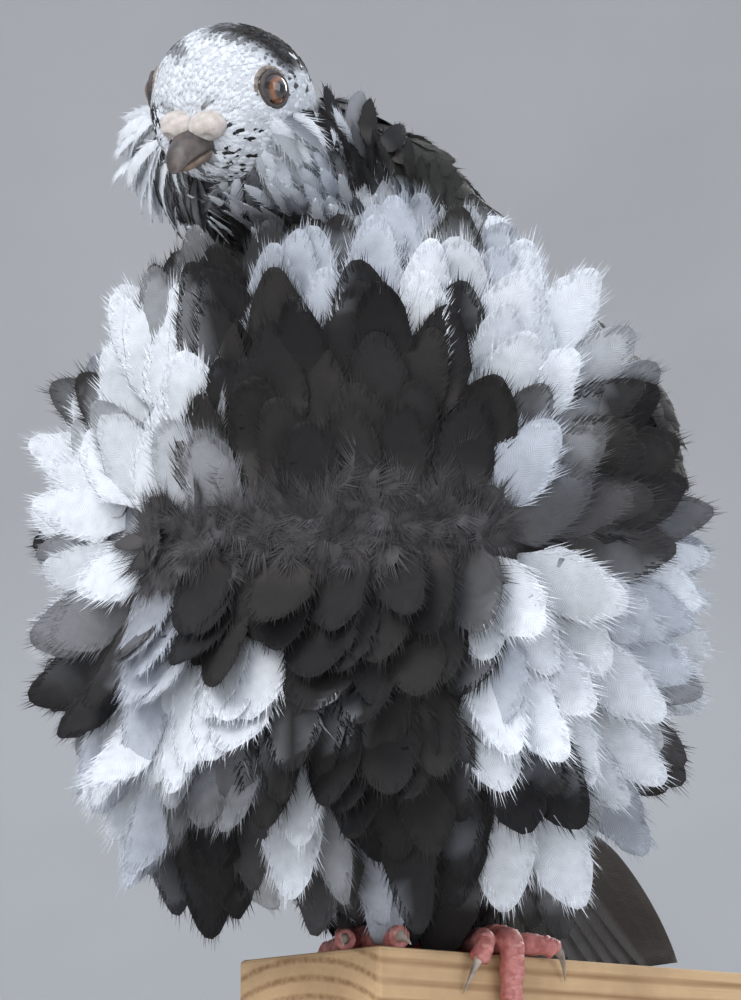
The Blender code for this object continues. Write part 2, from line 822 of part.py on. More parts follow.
def wing_pieces(side, extra=0.0):
    """The wing's feathers: tiers of coverts, the secondaries and the primaries below them."""
    pieces = []
    for start, count, run, width, height, spread_out, narrowed, steps in WING_TIERS:
        for k in range(count):
            place = -1 + 2 * k / (count - 1)
            stop = start + run * (1 - 0.08 * place)
            pieces.append(
                wing_feather(
                    side, start, stop, place * spread_out, place * narrowed, width, 0.0016, height, steps, extra
                )
            )
    for k in range(PRIMARIES):
        stop = PRIMARY_END - PRIMARY_STEP * (PRIMARIES - 1 - k)
        place = -0.15 - 0.16 * k
        depth = 0.0034 - 0.0009 * (PRIMARIES - 1 - k)
        pieces.append(
            wing_feather(
                side,
                PRIMARY_START,
                stop,
                place,
                place * 0.5,
                PRIMARY_WIDTH,
                depth,
                -0.0008 - 0.0009 * k,
                5,
                extra,
            )
        )
    return pieces


def lifted_feather(extra=0.0):
    """The covert that stands out behind the left shoulder."""
    feather = Feather(
        root=Vector(LIFTED_ROOT),
        along=Vector(LIFTED_ALONG),
        normal=Vector(LIFTED_NORMAL),
        length=LIFTED_SIZE[0],
        width=LIFTED_SIZE[1],
        lift=0.0,
        curl=math.radians(-10),
    )
    return feather.piece(extra)


def tail_frame():
    start, tip = Vector(TAIL_ROOT), Vector(TAIL_TIP)
    axis = (tip - start).normalized()
    side = Vector((1, 0, 0))
    return start, axis, side, side.cross(axis).normalized(), (tip - start).length


def tail_piece(extra=0.0):
    """The rump that the tail's feathers grow from."""
    start, axis, side, _, length = tail_frame()
    rings = []
    for t, half_width, half_thickness in TAIL_SECTIONS:
        centre = start + axis * t * length
        rings.append(ring_about(centre, axis, side, half_width + extra, half_thickness + extra, TAIL_SIDES))
    return loft(rings)


def tail_pieces(extra=0.0):
    """The twelve tail feathers, the middle pair on top, and the coverts over and under their roots."""
    start, axis, side, up, length = tail_frame()
    if up.z < 0:
        up = -up
    pieces = []
    for sign in (1, -1):
        for k in range(TAIL_PAIRS):
            level = -TAIL_LEVEL * (k + 1 if k or sign < 0 else 0)
            place = 0.0030 if k == 0 else TAIL_FEATHER_WIDTH / 2 + TAIL_STEP * (k - 1) + 0.0004
            aim = (axis + side * sign * math.tan(TAIL_SPREAD * k)).normalized()
            stations = []
            for t, share in ((0.0, 0.5), (0.30, 0.85), (0.62, 1.0), (0.93, 0.96), (1.0, 0.55)):
                run = length * (0.22 + 0.78 * t) - 0.0010 * k * t
                droop = -0.0025 * math.sin(math.pi * t)
                spot = start + aim * run + side * sign * place * (0.8 + 0.2 * t) + up * (level - droop)
                if t == 0.0:
                    spot -= aim * extra
                elif t == 1.0:
                    spot += aim * extra
                stations.append(
                    (spot, aim.cross(up), up, share * TAIL_FEATHER_WIDTH / 2 + extra, 0.00025 + extra)
                )
            pieces.append(blade(stations))
    for sign, count, reach in TAIL_COVERTS:
        for k in range(count):
            place = -1 + 2 * k / (count - 1)
            root = start + axis * 0.13 * length + side * place * 0.0105 + up * sign * 0.0068
            pieces.append(
                Feather(
                    root=root,
                    along=axis + side * place * 0.12,
                    normal=up * sign,
                    length=reach * (1 - 0.10 * abs(place)),
                    width=0.0105,
                    lift=math.radians(-2),
                    curl=math.radians(-7),
                    roll=math.radians(5),
                ).piece(extra)
            )
    return pieces


def leg_feathers(side_name):
    """The thigh's hanging feathers, on every side but the one that faces the other leg."""
    top, foot = Vector(LEG_TOPS[side_name]), Vector(LEG_FEET[side_name])
    axis = (foot - top).normalized()
    sign = 1 if side_name == "left" else -1
    feathers = []
    for k in range(LEG_FEATHERS):
        angle = math.radians(-105 + 210 * k / (LEG_FEATHERS - 1))
        out = Vector((sign * math.cos(angle), math.sin(angle), 0))
        root = top.lerp(foot, 0.62) + out * (0.6 * LEG_RADII[0] + 0.4 * LEG_RADII[1]) * 0.9
        feathers.append(
            Feather(
                root=root,
                along=axis,
                normal=out,
                length=LEG_FEATHER_LENGTH,
                width=LEG_FEATHER_WIDTH,
                lift=math.radians(12),
                curl=math.radians(14),
                roll=FRILL_ROLL,
                outline=SMALL_OUTLINE,
            )
        )
    return feathers


def leg_piece(side_name, extra=0.0):
    """The feathered thigh, from inside the torso to the tarsus."""
    top, foot = Vector(LEG_TOPS[side_name]), Vector(LEG_FEET[side_name])
    axis = (foot - top).normalized()
    rings = []
    for t, radius in ((0.0, LEG_RADII[0]), (0.5, 0.5 * sum(LEG_RADII)), (1.0, LEG_RADII[1])):
        rings.append(
            ring_about(top.lerp(foot, t), axis, Vector((1, 0, 0)), radius + extra, radius + extra, LEG_SIDES)
        )
    return loft(rings)


def over_edge(along, back, radius):
    """A place on the timber's skin: on its top, round its front edge, or down its front, a radius off it."""
    off = radius + GAP
    if back >= 0:
        return Vector((along, back - BEAM_SIDE / 2, off)), Vector((0, 0, 1))
    bend = -back / off
    if bend <= math.pi / 2:
        out = Vector((0, -math.sin(bend), math.cos(bend)))
        return Vector((along, -BEAM_SIDE / 2, 0)) + out * off, out
    return Vector((along, -BEAM_SIDE / 2 - off, back + off * math.pi / 2)), Vector((0, -1, 0))


def toe_frame(foot, toe, reach, radius):
    """Centre and outward direction of a toe at a distance from its pad."""
    heading = math.radians(TOE_HEADINGS[foot][toe])
    along, back = PADS[foot]
    return over_edge(along + reach * math.cos(heading), back + reach * math.sin(heading), radius)


def toe_ring(centre, ahead, out, radius, sides):
    side = ahead.cross(out).normalized()
    rise = side.cross(ahead).normalized()
    ring = []
    for k in range(sides):
        angle = 2 * math.pi * (k + 0.5) / sides
        ring.append(centre + (side * math.cos(angle) + rise * math.sin(angle)) * radius)
    return ring


def toe_piece(foot, toe, extra=0.0):
    """A toe that tapers, with its scutes as steps along it."""
    length, thick = TOES[toe]
    rings = []
    for k in range(TOE_RINGS):
        t = k / (TOE_RINGS - 1)
        reach = length * t
        radius = thick * (1.0 - 0.28 * t)
        step = 0.00012 if k % 2 else -0.00012
        here, out = toe_frame(foot, toe, reach, radius)
        ahead = toe_frame(foot, toe, reach + 0.0005, radius)[0] - here
        rings.append(toe_ring(here, ahead, out, radius + step + extra, TOE_SIDES))
    return loft(rings)


def claw_piece(foot, toe):
    """A claw that goes on from a toe and bends to the timber."""
    length, thick = TOES[toe]
    root = length - CLAW_SINK
    rings = []
    for k in range(CLAW_RINGS):
        t = k / CLAW_RINGS
        radius = 0.62 * thick * (1 - 0.8 * t)
        off = 0.72 * thick * (1 - t) + 0.0003
        here, out = toe_frame(foot, toe, root + CLAW_LENGTH * t, off)
        ahead = toe_frame(foot, toe, root + CLAW_LENGTH * t + 0.0005, off)[0] - here
        rings.append(toe_ring(here, ahead, out, radius, CLAW_SIDES))
    tip = toe_frame(foot, toe, root + CLAW_LENGTH, 0.0003)[0]
    return loft(rings, None, tip)


def foot_pieces(foot, extra=0.0):
    """The toes, the pad under the tarsus and the tarsus of one foot, in the timber's frame."""
    along, back = PADS[foot]
    pad_centre = Vector((along, back - BEAM_SIDE / 2, PAD_RADIUS + GAP + 0.0002))
    pieces = [toe_piece(foot, toe, extra) for toe in TOES]
    ankle = BEAM_FRAME_INVERSE @ BIRD_FRAME @ Vector(LEG_FEET[foot])
    axis = (pad_centre - ankle).normalized()
    top = ankle + axis * GAP
    rings = []
    for t, radius in ((0.0, TARSUS_RADIUS), (0.5, TARSUS_RADIUS), (1.0, PAD_RADIUS * 0.8)):
        rings.append(
            ring_about(top.lerp(pad_centre, t), axis, Vector((1, 0, 0)), radius + extra, radius + extra, 10)
        )
    pieces.append(loft(rings))
    return ball(pad_centre, [PAD_RADIUS + extra] * 3), pieces


def beam_piece(extra=0.0):
    """The timber as a block, in its own frame."""
    half = Vector((BEAM_LENGTH / 2 + extra, BEAM_SIDE / 2 + extra, BEAM_SIDE / 2 + extra))
    shape = bmesh.new()
    bmesh.ops.create_cube(shape, size=2.0)
    points = [Vector(a * b for a, b in zip(vert.co, half)) for vert in shape.verts]
    points = [point - Vector((0, 0, BEAM_SIDE / 2)) for point in points]
    faces = [tuple(vert.index for vert in face.verts) for face in shape.faces]
    shape.free()
    return points, faces


def build_stand():
    """The base, the rods and the timber, which is turned with the base."""
    wood = finish("stand_wood", (0.16, 0.10, 0.065), 0.45)
    steel = finish("stand_steel", (0.55, 0.55, 0.56), 0.3, 1.0)
    timber = finish("timber", (0.60, 0.44, 0.27), 0.8)
    for name, size, bottom, edge, material in (
        ("stand_base", (BASE_LENGTH, BASE_WIDTH, BASE_THICKNESS), 0.0, BASE_EDGE, wood),
        ("perch_beam", (BEAM_LENGTH, BEAM_SIDE, BEAM_SIDE), PERCH_TOP - BEAM_SIDE, BEAM_EDGE, timber),
    ):
        bpy.ops.mesh.primitive_cube_add(size=1.0)
        block = bpy.context.active_object
        block.name = name
        block.data.transform(Matrix.Diagonal((*size, 1.0)))
        block.data.materials.append(material)
        block.location = (0, 0, bottom + size[2] / 2)
        block.rotation_euler = (0, 0, BEAM_TURN)
        bevel = block.modifiers.new("edges", "BEVEL")
        bevel.width = edge
        bevel.segments = 2
        move_to_parts(block)
    for number, sign in ((1, -1), (2, 1)):
        bpy.ops.mesh.primitive_cylinder_add(vertices=ROD_SIDES, radius=ROD_RADIUS, depth=ROD_LENGTH)
        rod = bpy.context.active_object
        rod.name = f"stand_rod_{number}"
        rod.data.materials.append(steel)
        along = sign * ROD_SPREAD / 2
        rod.location = (
            along * math.cos(BEAM_TURN),
            along * math.sin(BEAM_TURN),
            BASE_THICKNESS + GAP + ROD_LENGTH / 2,
        )
        move_to_parts(rod)


def move_to_parts(obj):
    """Puts an object in the collection of parts alone."""
    for collection in list(obj.users_collection):
        collection.objects.unlink(obj)
    PARTS.objects.link(obj)


def build_head():
    """Head, eyes, cere and beak."""
    white = finish("head_white", (0.85, 0.85, 0.84), 0.8)
    iris = finish("iris", (0.16, 0.055, 0.02), 0.08)
    powder = finish("cere_powder", (0.62, 0.50, 0.46), 0.85)
    horn = finish("beak_horn", (0.17, 0.13, 0.12), 0.5)
    head = new_object("head", head_piece(), HEAD, white, PARTS)
    cheeks = [feather.piece() for feather in cheek_feathers()]
    combine(head, [lid_piece(1), lid_piece(-1), *cheeks], HEAD, "UNION")
    combine(head, [eye_piece(1, GAP), eye_piece(-1, GAP)], HEAD, "DIFFERENCE")
    shade(head)
    for name, side in (("eye_left", 1), ("eye_right", -1)):
        shade(new_object(name, eye_piece(side), HEAD, iris, PARTS))
    cere = new_object("cere", cere_pieces()[0], HEAD, powder, PARTS)
    combine(cere, cere_pieces()[1:], HEAD, "UNION")
    combine(cere, [head_piece(GAP), *nostril_pieces()], HEAD, "DIFFERENCE")
    shade(cere)
    for name, sign in (("beak_upper", 1), ("beak_lower", -1)):
        half = new_object(name, beak_piece(sign), HEAD, horn, PARTS)
        combine(half, [head_piece(GAP), *cere_pieces(GAP)], HEAD, "DIFFERENCE")
        shade(half)


def build_body():
    """Torso, neck, wings, tail and legs, each fused with its feathers and kept clear of what came before."""
    dark = finish("plumage_dark", (0.035, 0.03, 0.03), 0.75)
    pied = finish("plumage_pied", (0.25, 0.25, 0.26), 0.8)
    frill = frill_feathers()
    torso = new_object("torso", torso_piece(), BIRD, pied, PARTS)
    combine(torso, [feather.piece() for feather in frill], BIRD, "UNION")
    for foot in PADS:
        pad, pieces = foot_pieces(foot, GAP)
        combine(torso, [pad, *pieces], PERCH, "DIFFERENCE")
    combine(torso, [beam_piece(GAP)], PERCH, "DIFFERENCE")
    around_head = [head_piece(GAP), lid_piece(1, GAP), lid_piece(-1, GAP)]
    around_head += [feather.piece(GAP) for feather in cheek_feathers()]
    combine(torso, around_head, HEAD, "DIFFERENCE")
    around_torso = [torso_piece(GAP)] + [feather.piece(GAP) for feather in frill]
    ruff = ruff_feathers()
    neck = new_object("neck", neck_piece(), BIRD, pied, PARTS)
    combine(neck, [feather.piece() for feather in ruff], BIRD, "UNION")
    combine(neck, around_head, HEAD, "DIFFERENCE")
    combine(neck, near(around_torso, neck), BIRD, "DIFFERENCE")
    around_neck = [neck_piece(GAP)] + [feather.piece(GAP) for feather in ruff]
    around_wings = []
    for name, side in (("wing_left", 1), ("wing_right", -1)):
        wing = new_object(name, wing_piece(side), BIRD, dark, PARTS)
        lifted = [lifted_feather()] if side > 0 else []
        combine(wing, wing_pieces(side) + lifted, BIRD, "UNION")
        combine(wing, near(around_torso + around_neck + around_wings, wing), BIRD, "DIFFERENCE")
        around_wings += [wing_piece(side, GAP), *wing_pieces(side, GAP)]
        shade(wing)
    tail = new_object("tail", tail_piece(), BIRD, dark, PARTS)
    combine(tail, tail_pieces(), BIRD, "UNION")
    combine(tail, near([around_torso[0]] + around_wings, tail), BIRD, "DIFFERENCE")
    for name in LEG_TOPS:
        leg = new_object(f"leg_{name}", leg_piece(name), BIRD, pied, PARTS)
        combine(leg, [feather.piece() for feather in leg_feathers(name)], BIRD, "UNION")
        combine(leg, near(around_torso, leg), BIRD, "DIFFERENCE")
        pad, pieces = foot_pieces(name, GAP)
        combine(leg, [pad, *pieces, beam_piece(GAP)], PERCH, "DIFFERENCE")
        shade(leg)
    for obj in (torso, neck, tail):
        shade(obj)


def build_feet():
    """Both feet with their claws, on the timber."""
    skin = finish("foot_skin", (0.52, 0.20, 0.19), 0.55)
    horn = finish("claw_horn", (0.42, 0.36, 0.31), 0.4)
    for foot in PADS:
        pad, pieces = foot_pieces(foot)
        obj = new_object(f"foot_{foot}", pad, PERCH, skin, PARTS)
        combine(obj, pieces, PERCH, "UNION")
        shade(obj)
        for toe in TOES:
            claw = new_object(f"claw_{foot}_{toe}", claw_piece(foot, toe), PERCH, horn, PARTS)
            combine(claw, [toe_piece(foot, toe, GAP)], PERCH, "DIFFERENCE")
            shade(claw)


clear_scene()
PARTS = new_collection("chinese_owl_pigeon")
BEAM_FRAME = Matrix.Translation((0, 0, PERCH_TOP)) @ Matrix.Rotation(BEAM_TURN, 4, "Z")
BEAM_FRAME_INVERSE = BEAM_FRAME.inverted()
BIRD_FRAME = Matrix.Translation((BIRD_X, BIRD_Y, PERCH_TOP)) @ Matrix.Rotation(BIRD_TURN, 4, "Z")
HEAD_TURN = (
    Matrix.Rotation(HEAD_YAW, 4, "Z") @ Matrix.Rotation(HEAD_NOD, 4, "X") @ Matrix.Rotation(HEAD_TILT, 4, "Y")
)
PERCH = empty("perch_frame", BEAM_FRAME)
BIRD = empty("bird_frame", BIRD_FRAME)
HEAD = empty("head_frame", Matrix.Translation(HEAD_CENTRE) @ HEAD_TURN, BIRD)
build_stand()
build_head()
build_body()
build_feet()
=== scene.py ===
"""Looks of a Chinese owl pigeon on a short length of timber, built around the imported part.

The coat is solid mesh: a feather is a thin closed sheet along a bent shaft, with free barbs as fine slivers
round its rim. Feathers grow from the same named surfaces as the part's: torso, neck, head, wings, rump and
thighs. Sizes are metres.
"""

import json
import logging
import math
from collections.abc import Callable, Sequence
from dataclasses import dataclass, field
from enum import Enum

import bmesh
import bpy
import numpy as np
from mathutils import Matrix, Vector, kdtree

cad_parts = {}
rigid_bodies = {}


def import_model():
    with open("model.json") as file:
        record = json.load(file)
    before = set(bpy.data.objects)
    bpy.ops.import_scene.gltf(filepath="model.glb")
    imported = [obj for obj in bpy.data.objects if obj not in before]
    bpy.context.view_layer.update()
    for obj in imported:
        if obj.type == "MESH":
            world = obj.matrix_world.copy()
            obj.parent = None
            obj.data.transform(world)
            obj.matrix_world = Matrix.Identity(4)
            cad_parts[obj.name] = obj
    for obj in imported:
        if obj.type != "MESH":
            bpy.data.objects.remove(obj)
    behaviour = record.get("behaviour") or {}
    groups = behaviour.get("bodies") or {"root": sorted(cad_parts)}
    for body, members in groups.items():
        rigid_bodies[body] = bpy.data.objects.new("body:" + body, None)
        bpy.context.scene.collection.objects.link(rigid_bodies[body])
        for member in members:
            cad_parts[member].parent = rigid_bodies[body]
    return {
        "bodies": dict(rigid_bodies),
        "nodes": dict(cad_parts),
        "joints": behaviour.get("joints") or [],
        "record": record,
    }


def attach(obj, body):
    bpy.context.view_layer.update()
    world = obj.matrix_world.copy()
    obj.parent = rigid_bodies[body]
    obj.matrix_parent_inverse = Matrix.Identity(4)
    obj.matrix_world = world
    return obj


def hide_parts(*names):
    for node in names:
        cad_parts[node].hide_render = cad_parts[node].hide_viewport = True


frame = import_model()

LOG = logging.getLogger("owl_pigeon")
SEED = 23
BODY = "root"
UV_NAME = "OFBake"
UV_PATCH = 0.003
COAT = "Coat"
VANE = "Vane"
GAZE = "Gaze"
VANE_SHARE = 0.44
SKIN_INSET = -0.0004
Array = np.ndarray
Rgb = tuple[float, float, float]
Places = tuple[Array, Array, Array]
Size = tuple[float, float, float]
Pair = tuple[float, float]
Shell = tuple[Array, list]
Socket = bpy.types.NodeSocket
Material = bpy.types.Material
Object = bpy.types.Object
Draw = np.random.Generator
ATTRIBUTE_KEYS = {"FLOAT": "value", "FLOAT_VECTOR": "vector", "FLOAT_COLOR": "color"}


class Side(Enum):
    """The bird's own left and right, as the sign of X in its frame."""

    LEFT = 1
    RIGHT = -1

    @property
    def label(self) -> str:
        """The word that node names use."""
        return self.name.lower()


def spread(stations: Sequence, key: Array) -> Array:
    """Values between stations at keys, on a smooth curve through them, as rows."""
    table = np.array([np.hstack([np.atleast_1d(cell) for cell in row]) for row in stations], float)
    key = np.atleast_1d(np.asarray(key, float))
    last = len(table) - 2
    index = np.clip(np.searchsorted(table[:, 0], key, side="right") - 1, 0, last)
    before, after = table[np.maximum(index - 1, 0)], table[np.minimum(index + 2, last + 1)]
    start, stop = table[index], table[index + 1]
    span = stop[:, :1] - start[:, :1]
    t = (key[:, None] - start[:, :1]) / span
    rise_a = (stop - before) / (stop[:, :1] - before[:, :1]) * span
    rise_b = (after - start) / (after[:, :1] - start[:, :1]) * span
    values = (2 * t**3 - 3 * t**2 + 1) * start + (t**3 - 2 * t**2 + t) * rise_a
    values += (3 * t**2 - 2 * t**3) * stop + (t**3 - t**2) * rise_b
    return values[:, 1:]


def unit(vectors: Array) -> Array:
    """Vectors at length one."""
    return vectors / np.maximum(np.linalg.norm(vectors, axis=-1, keepdims=True), 1e-12)


def smooth(value: Array, start: float, stop: float) -> Array:
    """0 up to start and 1 from stop, smooth between them."""
    t = np.clip((value - start) / (stop - start), 0.0, 1.0)
    return t * t * (3 - 2 * t)


def moved(points: Array, matrix: Matrix) -> Array:
    """Points taken through a 4x4 matrix."""
    table = np.array(matrix)
    return points @ table[:3, :3].T + table[:3, 3]


def turned(vectors: Array, matrix: Matrix) -> Array:
    """Directions taken through a 4x4 matrix."""
    return vectors @ np.array(matrix)[:3, :3].T


def carried(places: Places, matrix: Matrix) -> Places:
    """Places with the ways they lie and look, taken through a 4x4 matrix."""
    place, along, face = places
    return moved(place, matrix), turned(along, matrix), turned(face, matrix)


def waves(points: Array, scale: float, seed: int) -> Array:
    """A smooth random value near -1 to 1 at each point, with bumps about 3/scale across."""
    draw = np.random.default_rng(seed)
    total = np.zeros(points.shape[:-1])
    for _ in range(7):
        heading = unit(draw.normal(size=3)) * scale * draw.uniform(0.6, 1.7)
        total += np.sin(points @ heading + draw.uniform(0, 2 * math.pi))
    return total / 2.6


@dataclass(frozen=True)
class Stance:
    """Where the timber, the bird and its head are."""

    perch_top: float = 0.097
    beam_side: float = 0.040
    beam_turn: float = math.radians(40)
    bird_place: Pair = (-0.0461, -0.0385)
    bird_turn: float = math.radians(-20)
    head_place: Size = (-0.0122, -0.0396, 0.1520)
    head_yaw: float = math.radians(-10)
    head_nod: float = math.radians(25)
    head_tilt: float = math.radians(9)
    gap: float = 0.0003

    @property
    def beam(self) -> Matrix:
        """The timber's frame, on its top face."""
        return Matrix.Translation((0, 0, self.perch_top)) @ Matrix.Rotation(self.beam_turn, 4, "Z")

    @property
    def bird(self) -> Matrix:
        """The bird's frame, between its feet, facing -Y."""
        place = Matrix.Translation((*self.bird_place, self.perch_top))
        return place @ Matrix.Rotation(self.bird_turn, 4, "Z")

    @property
    def head(self) -> Matrix:
        """The head's frame, facing -Y in it."""
        turn = Matrix.Rotation(self.head_yaw, 4, "Z") @ Matrix.Rotation(self.head_nod, 4, "X")
        turn = turn @ Matrix.Rotation(self.head_tilt, 4, "Y")
        return self.bird @ Matrix.Translation(self.head_place) @ turn


STANCE = Stance()


class Surface:
    """A smooth surface that feathers grow from, read by two parameters."""

    matrix: Matrix
    low: Pair
    high: Pair

    def local(self, u: Array, v: Array, extra: float = 0.0) -> Array:
        """Points in the surface's own frame."""
        raise NotImplementedError

    def point(self, u: Array, v: Array, extra: float = 0.0) -> Array:
        """Points in the part's frame."""
        return moved(self.local(np.asarray(u, float), np.asarray(v, float), extra), self.matrix)

    def frame(self, u: Array, v: Array) -> tuple[Array, Array, Array, Array]:
        """Point, direction of growing u, direction of growing v and outward normal."""
        step = 1e-4
        here = self.point(u, v)
        along_u = unit(self.point(u + step, v) - here)
        along_v = unit(self.point(u, v + step) - here)
        return here, along_u, along_v, unit(np.cross(along_u, along_v))

    def shell(self, around: int, rows: int, extra: float) -> Shell:
        """Points and faces of the surface as a closed tube, stood off by extra."""
        turn = np.linspace(self.low[0], self.high[0], around, endpoint=False)
        level = np.linspace(self.low[1], self.high[1], rows)
        u, v = np.meshgrid(turn, level)
        return self.point(u.ravel(), v.ravel(), extra), tube_faces(around, rows)

    def rows(self, pitch: float, step: float, low: float, high: float) -> tuple[Array, Array]:
        """Staggered places over the surface, about pitch apart round it and step apart along it.

        Args:
            pitch: metres between places in a row.
            step: metres between rows.
            low: the lowest v.
            high: the highest v.

        Returns:
            The u and the v of every place.
        """
        fine = np.linspace(low, high, 60)
        middle = self.point(np.full(60, 0.5 * (self.low[0] + self.high[0])), fine)
        run = np.concatenate([[0], np.cumsum(np.linalg.norm(np.diff(middle, axis=0), axis=1))])
        us, vs = [], []
        for row, at in enumerate(np.arange(0.5 * step, run[-1], step)):
            v = float(np.interp(at, run, fine))
            ring = np.linspace(self.low[0], self.high[0], 40)
            girth = np.linalg.norm(np.diff(self.point(ring, np.full(40, v)), axis=0), axis=1).sum()
            count = max(int(girth / pitch), 3)
            u = self.low[0] + (np.arange(count) + 0.5 * (row % 2)) / count * (self.high[0] - self.low[0])
            us.append(u)
            vs.append(np.full(count, v))
        return np.concatenate(us), np.concatenate(vs)


def ring_quads(rows: int, around: int) -> Array:
    """Corners of the four-sided faces between rings of points."""
    here = around * np.arange(rows - 1)[:, None]
    low = np.arange(around)
    high = (low + 1) % around
    return np.stack([here + low, here + high, here + around + high, here + around + low], -1).reshape(-1, 4)


def tube_faces(around: int, rows: int) -> list:
    """Faces of a grid of rings, with both ends closed."""
    ends = [tuple(range(around))[::-1], tuple((rows - 1) * around + k for k in range(around))]
    return ends + ring_quads(rows, around).tolist()


@dataclass
class Torso(Surface):
    """The torso's core: u is the turn from the breast to the bird's left, v the height over the timber."""

    matrix: Matrix = field(default_factory=lambda: STANCE.bird)
    low: Pair = (-math.pi, 0.0165)
    high: Pair = (math.pi, 0.1372)
    rear_taper: float = 0.16
    stations: tuple = (
        (0.0160, 0.002, 0.004, 0.004),
        (0.018, 0.002, 0.020, 0.020),
        (0.024, 0.000, 0.034, 0.035),
        (0.034, 0.001, 0.043, 0.048),
        (0.046, 0.002, 0.047, 0.054),
        (0.060, 0.002, 0.049, 0.054),
        (0.074, 0.000, 0.0495, 0.052),
        (0.088, 0.000, 0.048, 0.049),
        (0.102, 0.000, 0.045, 0.046),
        (0.114, 0.001, 0.040, 0.040),
        (0.122, 0.004, 0.033, 0.034),
        (0.130, 0.007, 0.024, 0.026),
        (0.135, 0.009, 0.014, 0.016),
        (0.1375, 0.009, 0.003, 0.003),
    )

    def local(self, u: Array, v: Array, extra: float = 0.0) -> Array:
        """Points of the torso in the bird's frame."""
        centre, half_width, half_depth = spread(self.stations, v).T
        half_width = half_width * (1 - self.rear_taper * np.maximum(-np.cos(u), 0.0) ** 2)
        x = (half_width + extra) * np.sin(u)
        return np.stack([x, centre - (half_depth + extra) * np.cos(u), v], axis=-1)


@dataclass
class Tube(Surface):
    """A bent tube through stations of (t, place, radius): u is the angle round it, v is t."""

    stations: tuple = ()
    matrix: Matrix = field(default_factory=lambda: STANCE.bird)
    low: Pair = (-math.pi / 2, 0.0)
    high: Pair = (1.5 * math.pi, 1.0)
    guide: Size = (0.0, -1.0, 0.0)

    def local(self, u: Array, v: Array, extra: float = 0.0) -> Array:
        """Points of the tube in its frame."""
        here = spread(self.stations, v)
        ahead = spread(self.stations, np.minimum(v + 0.01, self.high[1]))
        behind = spread(self.stations, np.maximum(v - 0.01, self.low[1]))
        axis = unit(ahead[:, :3] - behind[:, :3])
        across = unit(np.cross(axis, np.array(self.guide)))
        above = unit(np.cross(axis, across))
        out = across * np.cos(u)[:, None] + above * np.sin(u)[:, None]
        return here[:, :3] + out * (here[:, 3:4] + extra)


@dataclass
class HeadForm(Surface):
    """The head's ball: u is the angle round the face's direction, v how far forward."""

    matrix: Matrix = field(default_factory=lambda: STANCE.head)
    low: Pair = (0.0, -0.0169)
    high: Pair = (2 * math.pi, 0.0159)
    stations: tuple = (
        (-0.0170, 0.0010, 0.0010, -0.0015),
        (-0.0150, 0.0070, 0.0075, -0.0015),
        (-0.0115, 0.0108, 0.0112, -0.0008),
        (-0.0050, 0.0135, 0.0138, 0.0000),
        (0.0020, 0.0142, 0.0146, 0.0005),
        (0.0080, 0.0128, 0.0134, 0.0003),
        (0.0120, 0.0100, 0.0108, -0.0006),
        (0.0146, 0.0066, 0.0074, -0.0018),
        (0.0160, 0.0010, 0.0010, -0.0018),
    )

    def local(self, u: Array, v: Array, extra: float = 0.0) -> Array:
        """Points of the head in its own frame."""
        half_width, half_height, middle = spread(self.stations, v).T
        x = (half_width + extra) * np.cos(u)
        return np.stack([x, -v, middle + (half_height + extra) * np.sin(u)], axis=-1)


